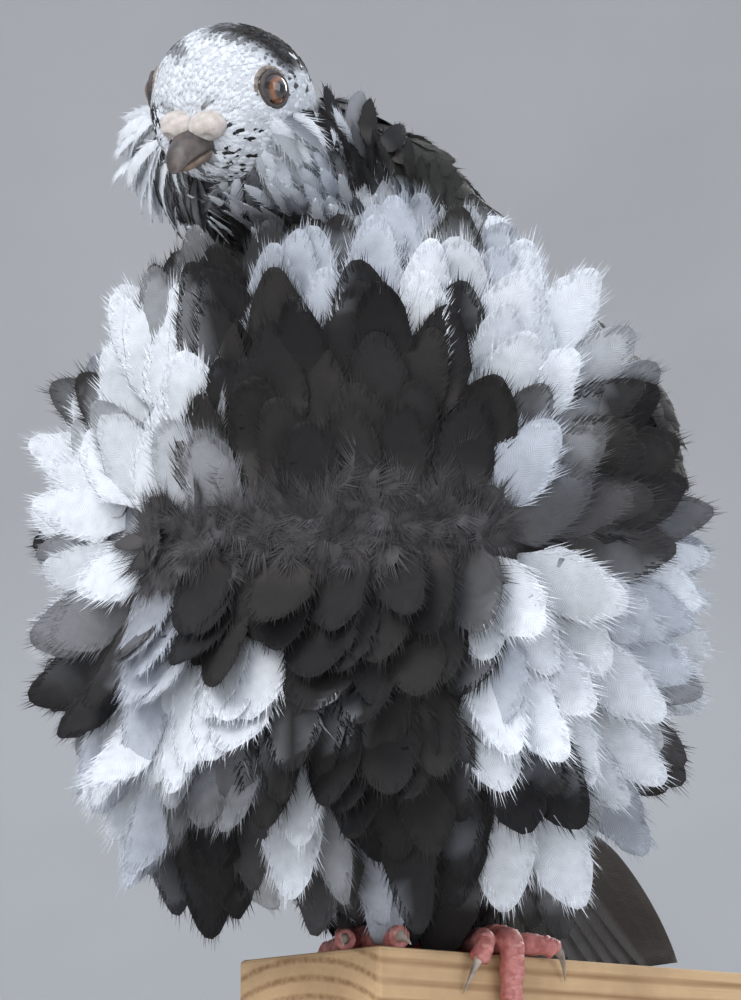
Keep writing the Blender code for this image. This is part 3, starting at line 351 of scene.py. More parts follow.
@dataclass
class WingLine:
    """The line of a folded wing, from the wrist along the torso to the flight feathers' tips."""

    side: Side
    torso: Torso
    base: tuple = (
        (math.radians(97), 0.119, 0.002),
        (math.radians(112), 0.106, 0.0035),
        (math.radians(126), 0.090, 0.0035),
        (math.radians(141), 0.072, 0.004),
    )
    reach: tuple = ((0.0190, 0.0800, 0.0440), (0.0095, 0.1060, 0.0160))
    reach_normals: tuple = ((0.50, 0.38, 0.78), (0.35, 0.30, 0.88))
    sections: tuple = (
        (0.02, 0.009, 0.0036),
        (0.12, 0.019, 0.0058),
        (0.28, 0.023, 0.0062),
        (0.44, 0.020, 0.0052),
        (0.60, 0.014, 0.0034),
        (0.72, 0.009, 0.0018),
    )

    def __post_init__(self) -> None:
        """Reads the line's points and normals off the torso, in the bird's frame."""
        u, v, off = (np.array(column) for column in zip(*self.base))
        spots = [self.torso.local(u[k : k + 1], v[k : k + 1], off[k]) for k in range(len(u))]
        places = np.concatenate(spots)
        normals = turned(self.torso.frame(u, v)[3], self.torso.matrix.inverted())
        keys = np.linspace(0, 1, len(u) + len(self.reach))[:, None]
        self.line = np.hstack([keys, np.vstack([places, self.reach])])
        self.normals = np.hstack([keys, np.vstack([normals, self.reach_normals])])

    def frame(self, t: Array) -> tuple[Array, Array, Array, Array]:
        """Centre, direction, outward normal and the direction across the wing at t, in the bird's frame."""
        flip = np.array([self.side.value, 1.0, 1.0])
        t = np.clip(np.atleast_1d(t), 0.0, 1.0)
        centre = spread(self.line, t) * flip
        ahead = spread(self.line, np.minimum(t + 0.01, 1))
        behind = spread(self.line, np.maximum(t - 0.01, 0))
        along = unit((ahead - behind) * flip)
        normal = spread(self.normals, t) * flip
        normal = unit(normal - along * (normal * along).sum(-1, keepdims=True))
        return centre, along, normal, np.cross(along, normal)

    def place(self, t: Array, a: Array, off: Array) -> Places:
        """A point over the wing, the way along and the way its face looks.

        Args:
            t: how far along the wing, from 0 to 1.
            a: how far across it, from -1 to 1.
            off: metres over it.

        Returns:
            The point and both ways, in the bird's frame.
        """
        centre, along, normal, across = self.frame(t)
        half = spread(self.sections, np.clip(t, self.sections[0][0], self.sections[-1][0]))
        thin = half[:, 1] * (1 - smooth(t, self.sections[-1][0], 1.0))
        rise = thin * np.sqrt(np.maximum(1 - np.minimum(np.abs(a), 0.95) ** 2, 0))
        lean = np.arcsin(np.clip(a, -0.9, 0.9)) * 0.55 * thin / self.sections[2][2]
        face = normal * np.cos(lean)[:, None] + np.cross(along, normal) * np.sin(lean)[:, None]
        spot = centre + across * (a * half[:, 0])[:, None] + normal * (rise + off)[:, None]
        return spot, along, unit(face)

    def shell(self, extra: float) -> Shell:
        """The wing's core as a closed tube in the part's frame."""
        t = np.linspace(0.02, 0.74, 18)
        centre, _, normal, across = self.frame(t)
        half = spread(self.sections, np.minimum(t, self.sections[-1][0])) + extra
        turn = np.linspace(0, 2 * math.pi, 20, endpoint=False)
        rings = centre[:, None] + across[:, None] * (half[:, :1] * np.cos(turn))[..., None]
        rings = rings + normal[:, None] * (half[:, 1:] * np.sin(turn))[..., None]
        return moved(rings.reshape(-1, 3), STANCE.bird), tube_faces(20, 18)


class Shade(Enum):
    """The coat's colours, in linear light."""

    WHITE = (0.62, 0.65, 0.70)
    PEARL = (0.40, 0.43, 0.49)
    GREY = (0.17, 0.175, 0.19)
    SMOKE = (0.060, 0.057, 0.060)
    BROWN = (0.0175, 0.0155, 0.0150)
    BLACK = (0.0095, 0.0090, 0.0100)
    BRONZE = (0.022, 0.022, 0.019)
    BUFF = (0.26, 0.215, 0.175)
    DUST = (0.105, 0.092, 0.086)


@dataclass(frozen=True)
class Patch:
    """One soft-edged marking: its middle and half sizes on the drawing, its turn in degrees, its shades."""

    x: float
    y: float
    half_width: float
    half_height: float
    turn: float
    shade: Shade
    streak: Shade | None = None
    share: float = 0.0


WHITE, PEARL, GREY, SMOKE, BROWN, BLACK, BRONZE, BUFF, DUST = Shade

# The bird's markings, drawn as a viewer in front of the breast sees them, in painter's order
MARKINGS = (
    Patch(206, 82, 68, 62, 0, WHITE),
    Patch(250, 110, 44, 34, 0, WHITE),
    Patch(294, 48, 56, 17, 34, BLACK, WHITE, 0.06),
    Patch(178, 47, 13, 8, 30, GREY),
    Patch(214, 97, 4.5, 4, 0, SMOKE),
    Patch(232, 105, 4.5, 4, 0, SMOKE),
    Patch(161, 102, 4.5, 4, 0, SMOKE),
    Patch(366, 142, 40, 76, 10, BLACK),
    Patch(360, 96, 28, 30, 20, BROWN, GREY, 0.35),
    Patch(318, 144, 34, 50, 0, BLACK, WHITE, 0.25),
    Patch(302, 92, 20, 20, 20, WHITE, SMOKE, 0.25),
    Patch(314, 184, 36, 32, 0, PEARL, WHITE, 0.5),
    Patch(136, 182, 60, 76, 0, WHITE, BLACK, 0.15),
    Patch(256, 158, 48, 46, 20, WHITE, BLACK, 0.16),
    Patch(186, 204, 34, 36, 0, WHITE, SMOKE, 0.3),
    Patch(195, 184, 34, 26, 0, WHITE, GREY, 0.2),
    Patch(222, 226, 34, 12, 0, BLACK, WHITE, 0.35),
    Patch(455, 190, 82, 56, 25, BRONZE),
    Patch(108, 322, 38, 34, -20, WHITE, PEARL, 0.2),
    Patch(160, 306, 48, 26, 5, WHITE, PEARL, 0.15),
    Patch(184, 350, 26, 44, 0, WHITE),
    Patch(324, 280, 22, 34, 10, WHITE, PEARL, 0.3),
    Patch(306, 244, 34, 10, -10, PEARL),
    Patch(384, 210, 42, 24, -25, PEARL, WHITE, 0.4),
    Patch(422, 258, 36, 48, -10, WHITE, PEARL, 0.25),
    Patch(545, 298, 112, 58, 38, WHITE, PEARL, 0.16),
    Patch(460, 322, 20, 54, -8, BLACK),
    Patch(514, 338, 24, 38, 0, WHITE),
    Patch(570, 420, 34, 66, 8, WHITE, PEARL, 0.15),
    Patch(626, 402, 26, 34, 0, BLACK, WHITE, 0.3),
    Patch(50, 404, 24, 28, 0, BLACK),
    Patch(120, 488, 106, 82, 10, WHITE, PEARL, 0.12),
    Patch(110, 568, 48, 44, 0, WHITE, PEARL, 0.15),
    Patch(34, 540, 16, 24, 0, BLACK),
    Patch(66, 615, 44, 66, 0, WHITE, GREY, 0.4),
    Patch(122, 640, 28, 54, 0, SMOKE, WHITE, 0.2),
    Patch(138, 684, 22, 50, 10, PEARL),
    Patch(642, 458, 62, 44, 0, BROWN),
    Patch(622, 528, 84, 44, 0, SMOKE, GREY, 0.45),
    Patch(640, 628, 92, 80, 0, WHITE, PEARL, 0.16),
    Patch(574, 622, 36, 50, 0, BLACK),
    Patch(684, 716, 36, 64, 0, SMOKE, WHITE, 0.45),
    Patch(375, 540, 190, 24, 0, DUST, SMOKE, 0.4),
    Patch(182, 742, 54, 58, 0, WHITE, PEARL, 0.16),
    Patch(252, 728, 28, 64, 5, WHITE),
    Patch(334, 722, 20, 26, 0, WHITE),
    Patch(104, 790, 46, 46, 0, WHITE, PEARL, 0.25),
    Patch(165, 846, 88, 28, 0, GREY, WHITE, 0.45),
    Patch(138, 874, 54, 36, 0, PEARL, WHITE, 0.4),
    Patch(214, 862, 60, 34, 0, BLACK),
    Patch(300, 884, 44, 52, 0, WHITE, SMOKE, 0.4),
    Patch(370, 916, 36, 30, 0, PEARL, SMOKE, 0.4),
    Patch(516, 700, 48, 106, 5, WHITE, PEARL, 0.14),
    Patch(598, 752, 62, 54, 0, WHITE, PEARL, 0.15),
    Patch(676, 640, 40, 60, 0, WHITE, PEARL, 0.3),
    Patch(552, 815, 58, 36, 0, BLACK),
    Patch(576, 872, 92, 38, -8, WHITE, PEARL, 0.2),
    Patch(462, 838, 20, 24, 0, PEARL, BLACK, 0.4),
    Patch(606, 936, 46, 26, 0, SMOKE, PEARL, 0.35),
)


@dataclass(frozen=True)
class Plumage:
    """Gives every feather and the skin under it the same colours."""

    eye: Size = (-0.0461, -0.7182, 0.0379)
    tilt: float = math.radians(12)
    scale: float = 3710.0
    centre: Pair = (370.5, 500.0)
    edge: float = 0.22

    def drawn(self, points: Array) -> tuple[Array, Array]:
        """Where points fall on the drawing that the markings are laid out on."""
        away = points - np.array(self.eye)
        depth = away[..., 1] * math.cos(self.tilt) + away[..., 2] * math.sin(self.tilt)
        up = away[..., 2] * math.cos(self.tilt) - away[..., 1] * math.sin(self.tilt)
        return self.centre[0] + self.scale * away[..., 0] / depth, self.centre[1] - self.scale * up / depth

    def behind(self, points: Array) -> Array:
        """Colours of the parts that the drawing doesn't show: bronze black, with grey where it's downy."""
        mottle = waves(points, 190, 5)[..., None]
        dark = np.array(BRONZE.value) * (1 + 0.35 * waves(points, 700, 6)[..., None])
        smoky = smooth(mottle, 0.25, 1.1)
        low = 1 - smooth(points[..., 2:3], STANCE.perch_top + 0.035, STANCE.perch_top + 0.075)
        smoky = np.clip(smoky * 0.5 + low * 0.6 * smooth(mottle, -0.5, 0.8), 0, 1)
        return dark * (1 - smoky) + np.array(GREY.value) * smoky

    def base(self, points: Array) -> Array:
        """The dark ground under the drawn markings."""
        mix = smooth(waves(points, 420, 8), -0.4, 0.8)[..., None]
        return np.array(BLACK.value) * (1 - mix) + np.array(BROWN.value) * mix

    def colour(self, points: Array, facing: Array, luck: Array) -> Array:
        """Colours at points.

        Args:
            points: places in the part's frame, of shape (..., 3).
            facing: how much the coat looks to the front there, from -1 to 1.
            luck: a random value from 0 to 1 for each point, which picks streaks.

        Returns:
            Linear colours of the points' shape.
        """
        x, y = self.drawn(points)
        painted = self.base(points)
        wander = 0.16 * waves(points, 520, 9)
        for number, patch in enumerate(MARKINGS):
            turn = math.radians(patch.turn)
            dx, dy = x - patch.x, y - patch.y
            a = (dx * math.cos(turn) + dy * math.sin(turn)) / patch.half_width
            b = (dy * math.cos(turn) - dx * math.sin(turn)) / patch.half_height
            inside = 1 - smooth(np.hypot(a, b) + wander, 1 - self.edge, 1 + self.edge)[..., None]
            ink = np.broadcast_to(np.array(patch.shade.value), points.shape)
            if patch.streak:
                picked = (((luck * 7.3 + number * 0.37) % 1.0) < patch.share)[..., None]
                ink = np.where(picked, np.array(patch.streak.value), ink)
            painted = painted * (1 - inside) + ink * inside
        front = smooth(facing, -0.35, 0.05)[..., None]
        return painted * front + self.behind(points) * (1 - front)


PLUMAGE = Plumage()


@dataclass(frozen=True)
class Barbs:
    """How a feather's vane is made: a thin curved sheet, and fine barbs that fray past its edge.

    The count is of barbs on each side, reach is how far they grow, and half is their half width. The sheet
    has rows of points in steps, ends at a share of the feather's length, and is hollow under by a share of
    its width. Slim is its width as a share of the feather's.
    """

    count: int
    reach: float
    steps: int
    root_angle: float = math.radians(46)
    tip_angle: float = math.radians(9)
    half: float = 0.00009
    thickness: float = 0.00010
    hollow: float = 0.10
    wave: float = 0.0
    end: float = 0.90
    slim: float = 1.0


@dataclass
class Flock:
    """Feathers of one region as arrays, one row for each."""

    root: Array
    along: Array
    normal: Array
    length: Array
    width: Array
    lift: Array
    curl: Array
    sweep: Array
    roll: Array
    luck: Array
    front: float = -1.0
    tone: Shade | None = None

    @classmethod
    def grown(
        cls,
        places: Places,
        draw: Draw,
        size: tuple[Array | float, Array | float],
        pose: tuple[Array | float, Array | float],
        loose: Size,
        roll: Array | float = 0.0,
    ) -> "Flock":
        """Feathers at places, with small differences between them.

        Args:
            places: roots, the ways they lie and the normals under them.
            draw: the source of the differences.
            size: length and width in metres.
            pose: lift off the surface at the root and curl over the length, in degrees.
            loose: how much lift, curl and sweep differ, in degrees.
            roll: turn about the shaft, in radians.

        Returns:
            The feathers.
        """
        root, along, normal = places
        count = len(root)
        normal = unit(normal)
        along = unit(along - normal * (along * normal).sum(-1, keepdims=True))
        wide = [np.broadcast_to(np.asarray(value, float), (count,)) for value in (*size, *pose, roll)]
        layer = 0.03 * wide[1] * draw.uniform(-1.0, 1.0, count)
        return cls(
            root=root + normal * layer[:, None],
            along=along,
            normal=normal,
            length=wide[0] * draw.uniform(0.88, 1.08, count),
            width=wide[1] * draw.uniform(0.88, 1.12, count),
            lift=np.radians(wide[2] + loose[0] * draw.normal(size=count)),
            curl=np.radians(wide[3] + loose[1] * draw.normal(size=count)),
            sweep=np.radians(loose[2] * draw.normal(size=count)),
            roll=wide[4] + np.radians(loose[2] * 0.7) * draw.normal(size=count),
            luck=draw.random(count),
        )

    def chosen(self, which: Array) -> "Flock":
        """Only some of the feathers."""
        keys = [key for key in self.__dataclass_fields__ if key not in ("front", "tone")]
        rows = {key: getattr(self, key)[which] for key in keys}
        return Flock(**rows, front=self.front, tone=self.tone)

    def heading(self, t: Array) -> tuple[Array, Array]:
        """Which way the feathers point and which way their faces look at t, of shape (n, k)."""
        along, normal = self.along[:, None], self.normal[:, None]
        swing = (self.sweep[:, None] * t)[..., None]
        side = np.cross(normal, along)
        lie = along * np.cos(swing) + side * np.sin(swing)
        angle = (self.lift[:, None] + self.curl[:, None] * t)[..., None]
        ahead = lie * np.cos(angle) + normal * np.sin(angle)
        up = normal * np.cos(angle) - lie * np.sin(angle)
        roll = self.roll[:, None, None]
        return ahead, up * np.cos(roll) + np.cross(ahead, up) * np.sin(roll)

    def shaft(self, t: Array, sink: float) -> tuple[Array, Array, Array]:
        """Places on the shafts at t, of shape (n, k), with the way ahead and the way the face looks."""
        steps = 26
        grid = np.linspace(0, 1.25, steps)
        middle = 0.5 * (grid[1:] + grid[:-1])
        ahead, _ = self.heading(np.broadcast_to(middle, (len(self.root), steps - 1)))
        reach = (self.length + sink)[:, None, None]
        path = np.cumsum(ahead * (grid[1] - grid[0]) * reach, axis=1)
        path = np.concatenate([np.zeros((len(self.root), 1, 3)), path], axis=1)
        start = self.root - self.heading(np.zeros((len(self.root), 1)))[0][:, 0] * sink
        spot = np.clip(t / grid[-1], 0, 1) * (steps - 1)
        index = np.minimum(spot.astype(int), steps - 2)
        share = (spot - index)[..., None]
        rows = np.arange(len(self.root))[:, None]
        place = path[rows, index] * (1 - share) + path[rows, index + 1] * share
        ahead, up = self.heading(t)
        return start[:, None] + place, ahead, up


BLADE = np.array([(0, 2, 1), (0, 1, 3), (1, 2, 3), (2, 0, 3)])
# Across a sheet's section: how far out each point is and whether it is on the face (1) or under it (-1)
SECTION = ((-1.0, 0.0), (-0.93, 0.8), (0.0, 1.0), (0.93, 0.8), (1.0, 0.0), (0.0, -3.0))


@dataclass
class Down:
    """Triangles of a coat piece, with a colour and a place on the unwrap for each point."""

    points: Array
    corners: Array
    colours: Array
    uv: Array
    vane: Array
    soft: Array

    @classmethod
    def joined(cls, parts: Sequence["Down"]) -> "Down":
        """All parts as one."""
        keys = cls.__dataclass_fields__
        whole = {key: np.concatenate([getattr(part, key) for part in parts]) for key in keys}
        starts = np.cumsum([0] + [len(part.points) for part in parts[:-1]])
        shift = np.repeat(starts, [len(part.corners) for part in parts])
        whole["corners"] = whole["corners"] + shift[:, None]
        return cls(**whole)

    def piece(self, name: str, material: Material, turn_out: bool = False) -> Object:
        """The triangles as one mesh object, whose faces are turned out if they aren't yet."""
        mesh = array_mesh(name, self.points, self.corners)
        if turn_out:
            shape = bmesh.new()
            shape.from_mesh(mesh)
            bmesh.ops.recalc_face_normals(shape, faces=shape.faces)
            shape.to_mesh(mesh)
            shape.free()
        paint(mesh, self.colours)
        store(mesh, VANE, "FLOAT_VECTOR", self.vane)
        order = column(mesh.loops, "vertex_index", kind=np.int32)
        layer = mesh.uv_layers.new(name=UV_NAME)
        layer.data.foreach_set("uv", self.uv[order].astype(np.float32).ravel())
        mesh.materials.append(material)
        mesh.polygons.foreach_set("use_smooth", self.soft)
        return linked(name, mesh)


@dataclass
class Plume:
    """Turns a flock into a coat piece: curved sheets, and barbs that fray past their edges."""

    skin: "Skin"
    draw: Draw
    sink: float = 0.0012
    fan: float = math.radians(26)
    stray: float = math.radians(5)
    twist: float = math.radians(8)

    def of(self, flock: Flock, barbs: Barbs) -> Down:
        """The flock's vanes."""
        return Down.joined([self.sheets(flock, barbs), self.fringe(flock, barbs)])

    def fringe(self, flock: Flock, barbs: Barbs) -> Down:
        """The free ends of the barbs: thin closed slivers of four points, three at the root and the tip."""
        draw, n, count = self.draw, len(flock.root), 2 * barbs.count
        hand = np.tile([1.0, -1.0], barbs.count)
        share = (np.repeat(np.arange(barbs.count), 2) + 0.5) / barbs.count
        share = np.clip(share + draw.uniform(-0.8, 0.8, (n, count)) / barbs.count, 0, 1)
        start, out = self.rim(flock, barbs, 0.13 + 0.87 * share)
        tip = smooth(start / barbs.end, 0.55, 1.0)
        start = start - (0.02 + 0.08 * tip) * draw.uniform(0.2, 1.0, (n, count))
        out = out * (1 - draw.uniform(0.03, 0.25, (n, count)))
        angle = barbs.root_angle + (barbs.tip_angle - barbs.root_angle) * start / barbs.end
        widest = VANE_SHARE * barbs.slim * flock.width[:, None]
        angle = angle * (1 - tip) + self.fan * (out / widest) * tip
        angle = angle + self.stray * draw.normal(size=angle.shape)
        clump = 1 + 0.28 * np.sin(29 * share * hand + 40 * flock.luck[:, None])
        broad = (flock.width / flock.width.mean())[:, None]
        long = barbs.reach * draw.uniform(0.5, 1.15, (n, count)) * clump * broad
        ts = (start, start + long * np.cos(angle) / flock.length[:, None])
        outs = (out * hand, (out + long * np.sin(angle)) * hand)
        stray = 0.07 * long * draw.normal(size=long.shape)
        rows = []
        for t, off, bump in zip(ts, outs, (0.0, 1.0)):
            place, ahead, up = flock.shaft(t, self.sink)
            rise = self.cup(flock, barbs, t, off) + barbs.thickness * 0.7 + stray * bump
            rows.append((place + np.cross(ahead, up) * off[..., None] + up * rise[..., None], up))
        (root, up), (point, _) = rows
        ahead = unit(point - root)
        face = unit(up - ahead * (up * ahead).sum(-1, keepdims=True))
        tilt = self.twist * draw.normal(size=root.shape[:2])[..., None]
        face = face * np.cos(tilt) + np.cross(ahead, face) * np.sin(tilt)
        half = (barbs.half * draw.uniform(0.7, 1.4, long.shape))[..., None]
        side = np.cross(ahead, face) * half
        points = np.stack([root - side, root + side, root - face * half * 0.7, point], 2)
        tint = self.tints(flock, point, np.broadcast_to(ts[1], point.shape[:2]), 0.9)
        tint = tint * (1 + 0.10 * draw.normal(size=(*point.shape[:2], 1))).clip(0.65, 1.35)
        colours = np.repeat(tint[:, :, None], 4, axis=2)
        uv = np.repeat(self.patch(flock, outs[1], ts[1])[:, :, None], 4, axis=2)
        corners = (BLADE[None] + 4 * np.arange(n * count)[:, None, None]).reshape(-1, 3)
        vane = np.zeros((n * count * 4, 3))
        vane[:, 2] = np.tile([0.0, 0.0, 0.0, 0.5], n * count)
        hard = np.zeros(len(corners), bool)
        return Down(points.reshape(-1, 3), corners, colours.reshape(-1, 3), uv.reshape(-1, 2), vane, hard)

    def sheets(self, flock: Flock, barbs: Barbs) -> Down:
        """The vanes' closed thin sheets."""
        n, ring, steps = len(flock.root), len(SECTION), barbs.steps
        t = barbs.end * (1 - (1 - np.linspace(0.0, 1.0, steps)) ** 1.35)
        ts = np.broadcast_to(t, (n, steps))
        half = self.half(flock, barbs, ts)
        half = half * (1 + 0.05 * self.draw.normal(size=half.shape)).clip(0.8, 1.2)
        place, ahead, up = flock.shaft(ts, self.sink)
        side = np.cross(ahead, up)
        points, outs = [], []
        for across, above in SECTION:
            off = across * half
            rise = self.cup(flock, barbs, ts, off) + above * barbs.thickness * 0.5
            points.append(place + side * off[..., None] + up * rise[..., None])
            outs.append(off)
        points, outs = np.stack(points, 2), np.stack(outs, 2)
        wide = np.broadcast_to(ts[..., None], outs.shape).reshape(n, -1)
        flat = points.reshape(n, steps * ring, 3)
        colours = self.tints(flock, flat, wide, 0.5)
        uv = self.patch(flock, outs.reshape(n, -1), wide)
        quads = ring_quads(steps, ring)
        fan = np.array([(0, k, k + 1) for k in range(1, ring - 1)])
        last = (steps - 1) * ring
        one = np.concatenate([quads[:, [0, 2, 1]], quads[:, [0, 3, 2]], fan, fan[:, ::-1] + last])
        corners = (one[None] + steps * ring * np.arange(n)[:, None, None]).reshape(-1, 3)
        run = wide * flock.length[:, None]
        vane = np.stack([outs.reshape(n, -1), run, 0 * run + 0.5 + 0.5 * flock.luck[:, None]], -1)
        soft = np.ones(len(corners), bool)
        colours, uv, vane = colours.reshape(-1, 3), uv.reshape(-1, 2), vane.reshape(-1, 3)
        return Down(flat.reshape(-1, 3), corners, colours, uv, vane, soft)

    def rim(self, flock: Flock, barbs: Barbs, share: Array) -> tuple[Array, Array]:
        """Where shares of the way along the sheets' edge are: t and the distance from the shaft."""
        t = barbs.end * np.linspace(0.0, 1.0, 60)
        half = self.half(flock, barbs, t)
        t, half = np.append(t, barbs.end), np.hstack([half, np.zeros((len(half), 1))])
        step = np.hypot(np.diff(t) * flock.length.mean(), np.diff(half.mean(0)))
        walk = np.concatenate([[0.0], np.cumsum(step)]) / step.sum()
        spot = np.interp(share, walk, np.arange(len(walk)))
        low = np.minimum(spot.astype(int), len(t) - 2)
        part = spot - low
        rows = np.arange(len(half))[:, None]
        away = half[rows, low] * (1 - part) + half[rows, low + 1] * part
        return t[low] * (1 - part) + t[low + 1] * part, away

    @staticmethod
    def half(flock: Flock, barbs: Barbs, t: Array) -> Array:
        """The sheets' half widths at t: narrow at the root, broad past the middle and round at the tip."""
        share = t / barbs.end
        belly = np.sin(math.pi * (0.20 + 0.52 * share)) ** 0.8
        tip = np.sqrt(np.maximum(1.03 - share**3.0, 0))
        root = 0.30 + 0.70 * smooth(share, 0.0, 0.3)
        return VANE_SHARE * barbs.slim * flock.width[:, None] * belly * tip * root

    @staticmethod
    def cup(flock: Flock, barbs: Barbs, t: Array, off: Array) -> Array:
        """How far a point off the shaft sinks, as vanes are hollow under, and waves as soft ones do."""
        swing = 2.4 * math.pi * t + 20.0 * flock.luck[:, None] + np.sign(off) * 1.3
        broad = 0.5 * flock.width[:, None]
        return -barbs.hollow * off**2 / broad + barbs.wave * np.abs(off) * np.sin(swing)

    def patch(self, flock: Flock, out: Array, t: Array) -> Array:
        """Places on the unwrap: a patch about 0.003 across at each feather's root."""
        wide = np.clip(out / np.maximum(flock.width[:, None], 1e-6), -0.5, 0.5)
        local = np.stack([wide, np.clip(t, 0, 1) - 0.5], -1)
        return np.clip(self.skin.unwrapped(flock.root)[:, None] + UV_PATCH * local, 0.0, 1.0)

    def tints(self, flock: Flock, spots: Array, t: Array, own_share: float = 0.75) -> Array:
        """Colours at spots of each feather: mostly the feather's own, partly the markings' at the spot."""
        n, many = spots.shape[:2]
        centre, _, _ = flock.shaft(np.full((n, 1), 0.80), 0.0)
        facing = np.broadcast_to(np.maximum(-flock.normal[:, None, 1], flock.front), (n, many))
        luck = np.broadcast_to(flock.luck[:, None], (n, many))
        own = PLUMAGE.colour(centre, facing[:, :1], luck[:, :1])
        here = PLUMAGE.colour(spots, facing, luck)
        picked = self.draw.random((n, many, 1)) < own_share
        keep = np.where(picked, 1.0, 0.5) if own_share > 0.55 else 0.8
        tint = own * keep + here * (1 - keep)
        if flock.tone:
            tint = np.array(flock.tone.value) * (0.5 + 0.9 * luck[..., None]) + 0 * here
        # Dusky roots on wide feathers: the down's colour, partly painted shade under overlapping feathers
        down = np.array(DUST.value)
        base = 0.75 * (1 - smooth(t, 0.10, 0.42))[..., None] * smooth(flock.width.mean(), 0.003, 0.006)
        base = base * (1 - 0.8 * smooth(tint.mean(-1, keepdims=True), 0.12, 0.40))
        return tint * (1 - base) + (0.55 * down + 0.45 * tint) * base


def column(rows: object, key: str, width: int = 1, kind: type = np.float32) -> Array:
    """One property of all rows of a mesh, width values to a row."""
    values = np.empty(len(rows) * width, kind)
    rows.foreach_get(key, values)
    return values.reshape(-1, width) if width > 1 else values


def store(mesh: bpy.types.Mesh, name: str, kind: str, values: Array) -> None:
    """Stores a value for every point of a mesh."""
    layer = mesh.attributes.new(name, kind, "POINT")
    layer.data.foreach_set(ATTRIBUTE_KEYS[kind], np.asarray(values, np.float32).ravel())


def array_mesh(name: str, points: Array, corners: Array) -> bpy.types.Mesh:
    """A mesh of triangles from arrays."""
    mesh = bpy.data.meshes.new(name)
    mesh.vertices.add(len(points))
    mesh.vertices.foreach_set("co", points.astype(np.float32).ravel())
    mesh.loops.add(corners.size)
    mesh.loops.foreach_set("vertex_index", corners.astype(np.int32).ravel())
    mesh.polygons.add(len(corners))
    mesh.polygons.foreach_set("loop_start", np.arange(0, corners.size, 3, dtype=np.int32))
    mesh.update(calc_edges=True)
    mesh.validate()
    return mesh


def paint(mesh: bpy.types.Mesh, colours: Array) -> None:
    """Stores a linear colour for every point of a mesh."""
    store(mesh, COAT, "FLOAT_COLOR", np.hstack([np.clip(colours, 0.0, 1.0), np.ones((len(colours), 1))]))


def linked(name: str, mesh: bpy.types.Mesh) -> Object:
    """A new object in the scene, at the origin."""
    obj = bpy.data.objects.new(name, mesh)
    bpy.context.scene.collection.objects.link(obj)
    return obj


def solid(name: str, shells: Sequence[Shell], material: Material) -> Object:
    """An object of closed shells, faces turned out."""
    shape = bmesh.new()
    for points, faces in shells:
        verts = [shape.verts.new(point) for point in points]
        for face in faces:
            shape.faces.new([verts[k] for k in face])
    bmesh.ops.recalc_face_normals(shape, faces=shape.faces)
    mesh = bpy.data.meshes.new(name)
    shape.to_mesh(mesh)
    shape.free()
    mesh.shade_smooth()
    mesh.materials.append(material)
    return linked(name, mesh)


def baked(obj: Object) -> Object:
    """Gives an object the mesh that its modifiers make, and removes them."""
    bpy.context.view_layer.update()
    graph = bpy.context.evaluated_depsgraph_get()
    mesh = bpy.data.meshes.new_from_object(obj.evaluated_get(graph))
    obj.modifiers.clear()
    old, obj.data = obj.data, mesh
    mesh.name = old.name
    bpy.data.meshes.remove(old)
    return obj


def melted(obj: Object, voxel: float, passes: int) -> Object:
    """Joins an object's shells to one surface at a voxel size and smooths it in passes."""
    remesh = obj.modifiers.new("joined", "REMESH")
    remesh.mode, remesh.voxel_size, remesh.use_smooth_shade = "VOXEL", voxel, True
    soft = obj.modifiers.new("softened", "SMOOTH")
    soft.factor, soft.iterations = 0.5, passes
    return baked(obj)


def handed(obj: Object, slot: str, *nodes: str) -> Object:
    """Lets a piece ride on the body, standing for nodes of the part."""
    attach(obj, BODY)
    if nodes:
        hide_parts(*nodes)
    triangles = sum(len(face.vertices) - 2 for face in obj.data.polygons)
    LOG.info("%s: %d triangles", obj.name, triangles)
    return obj


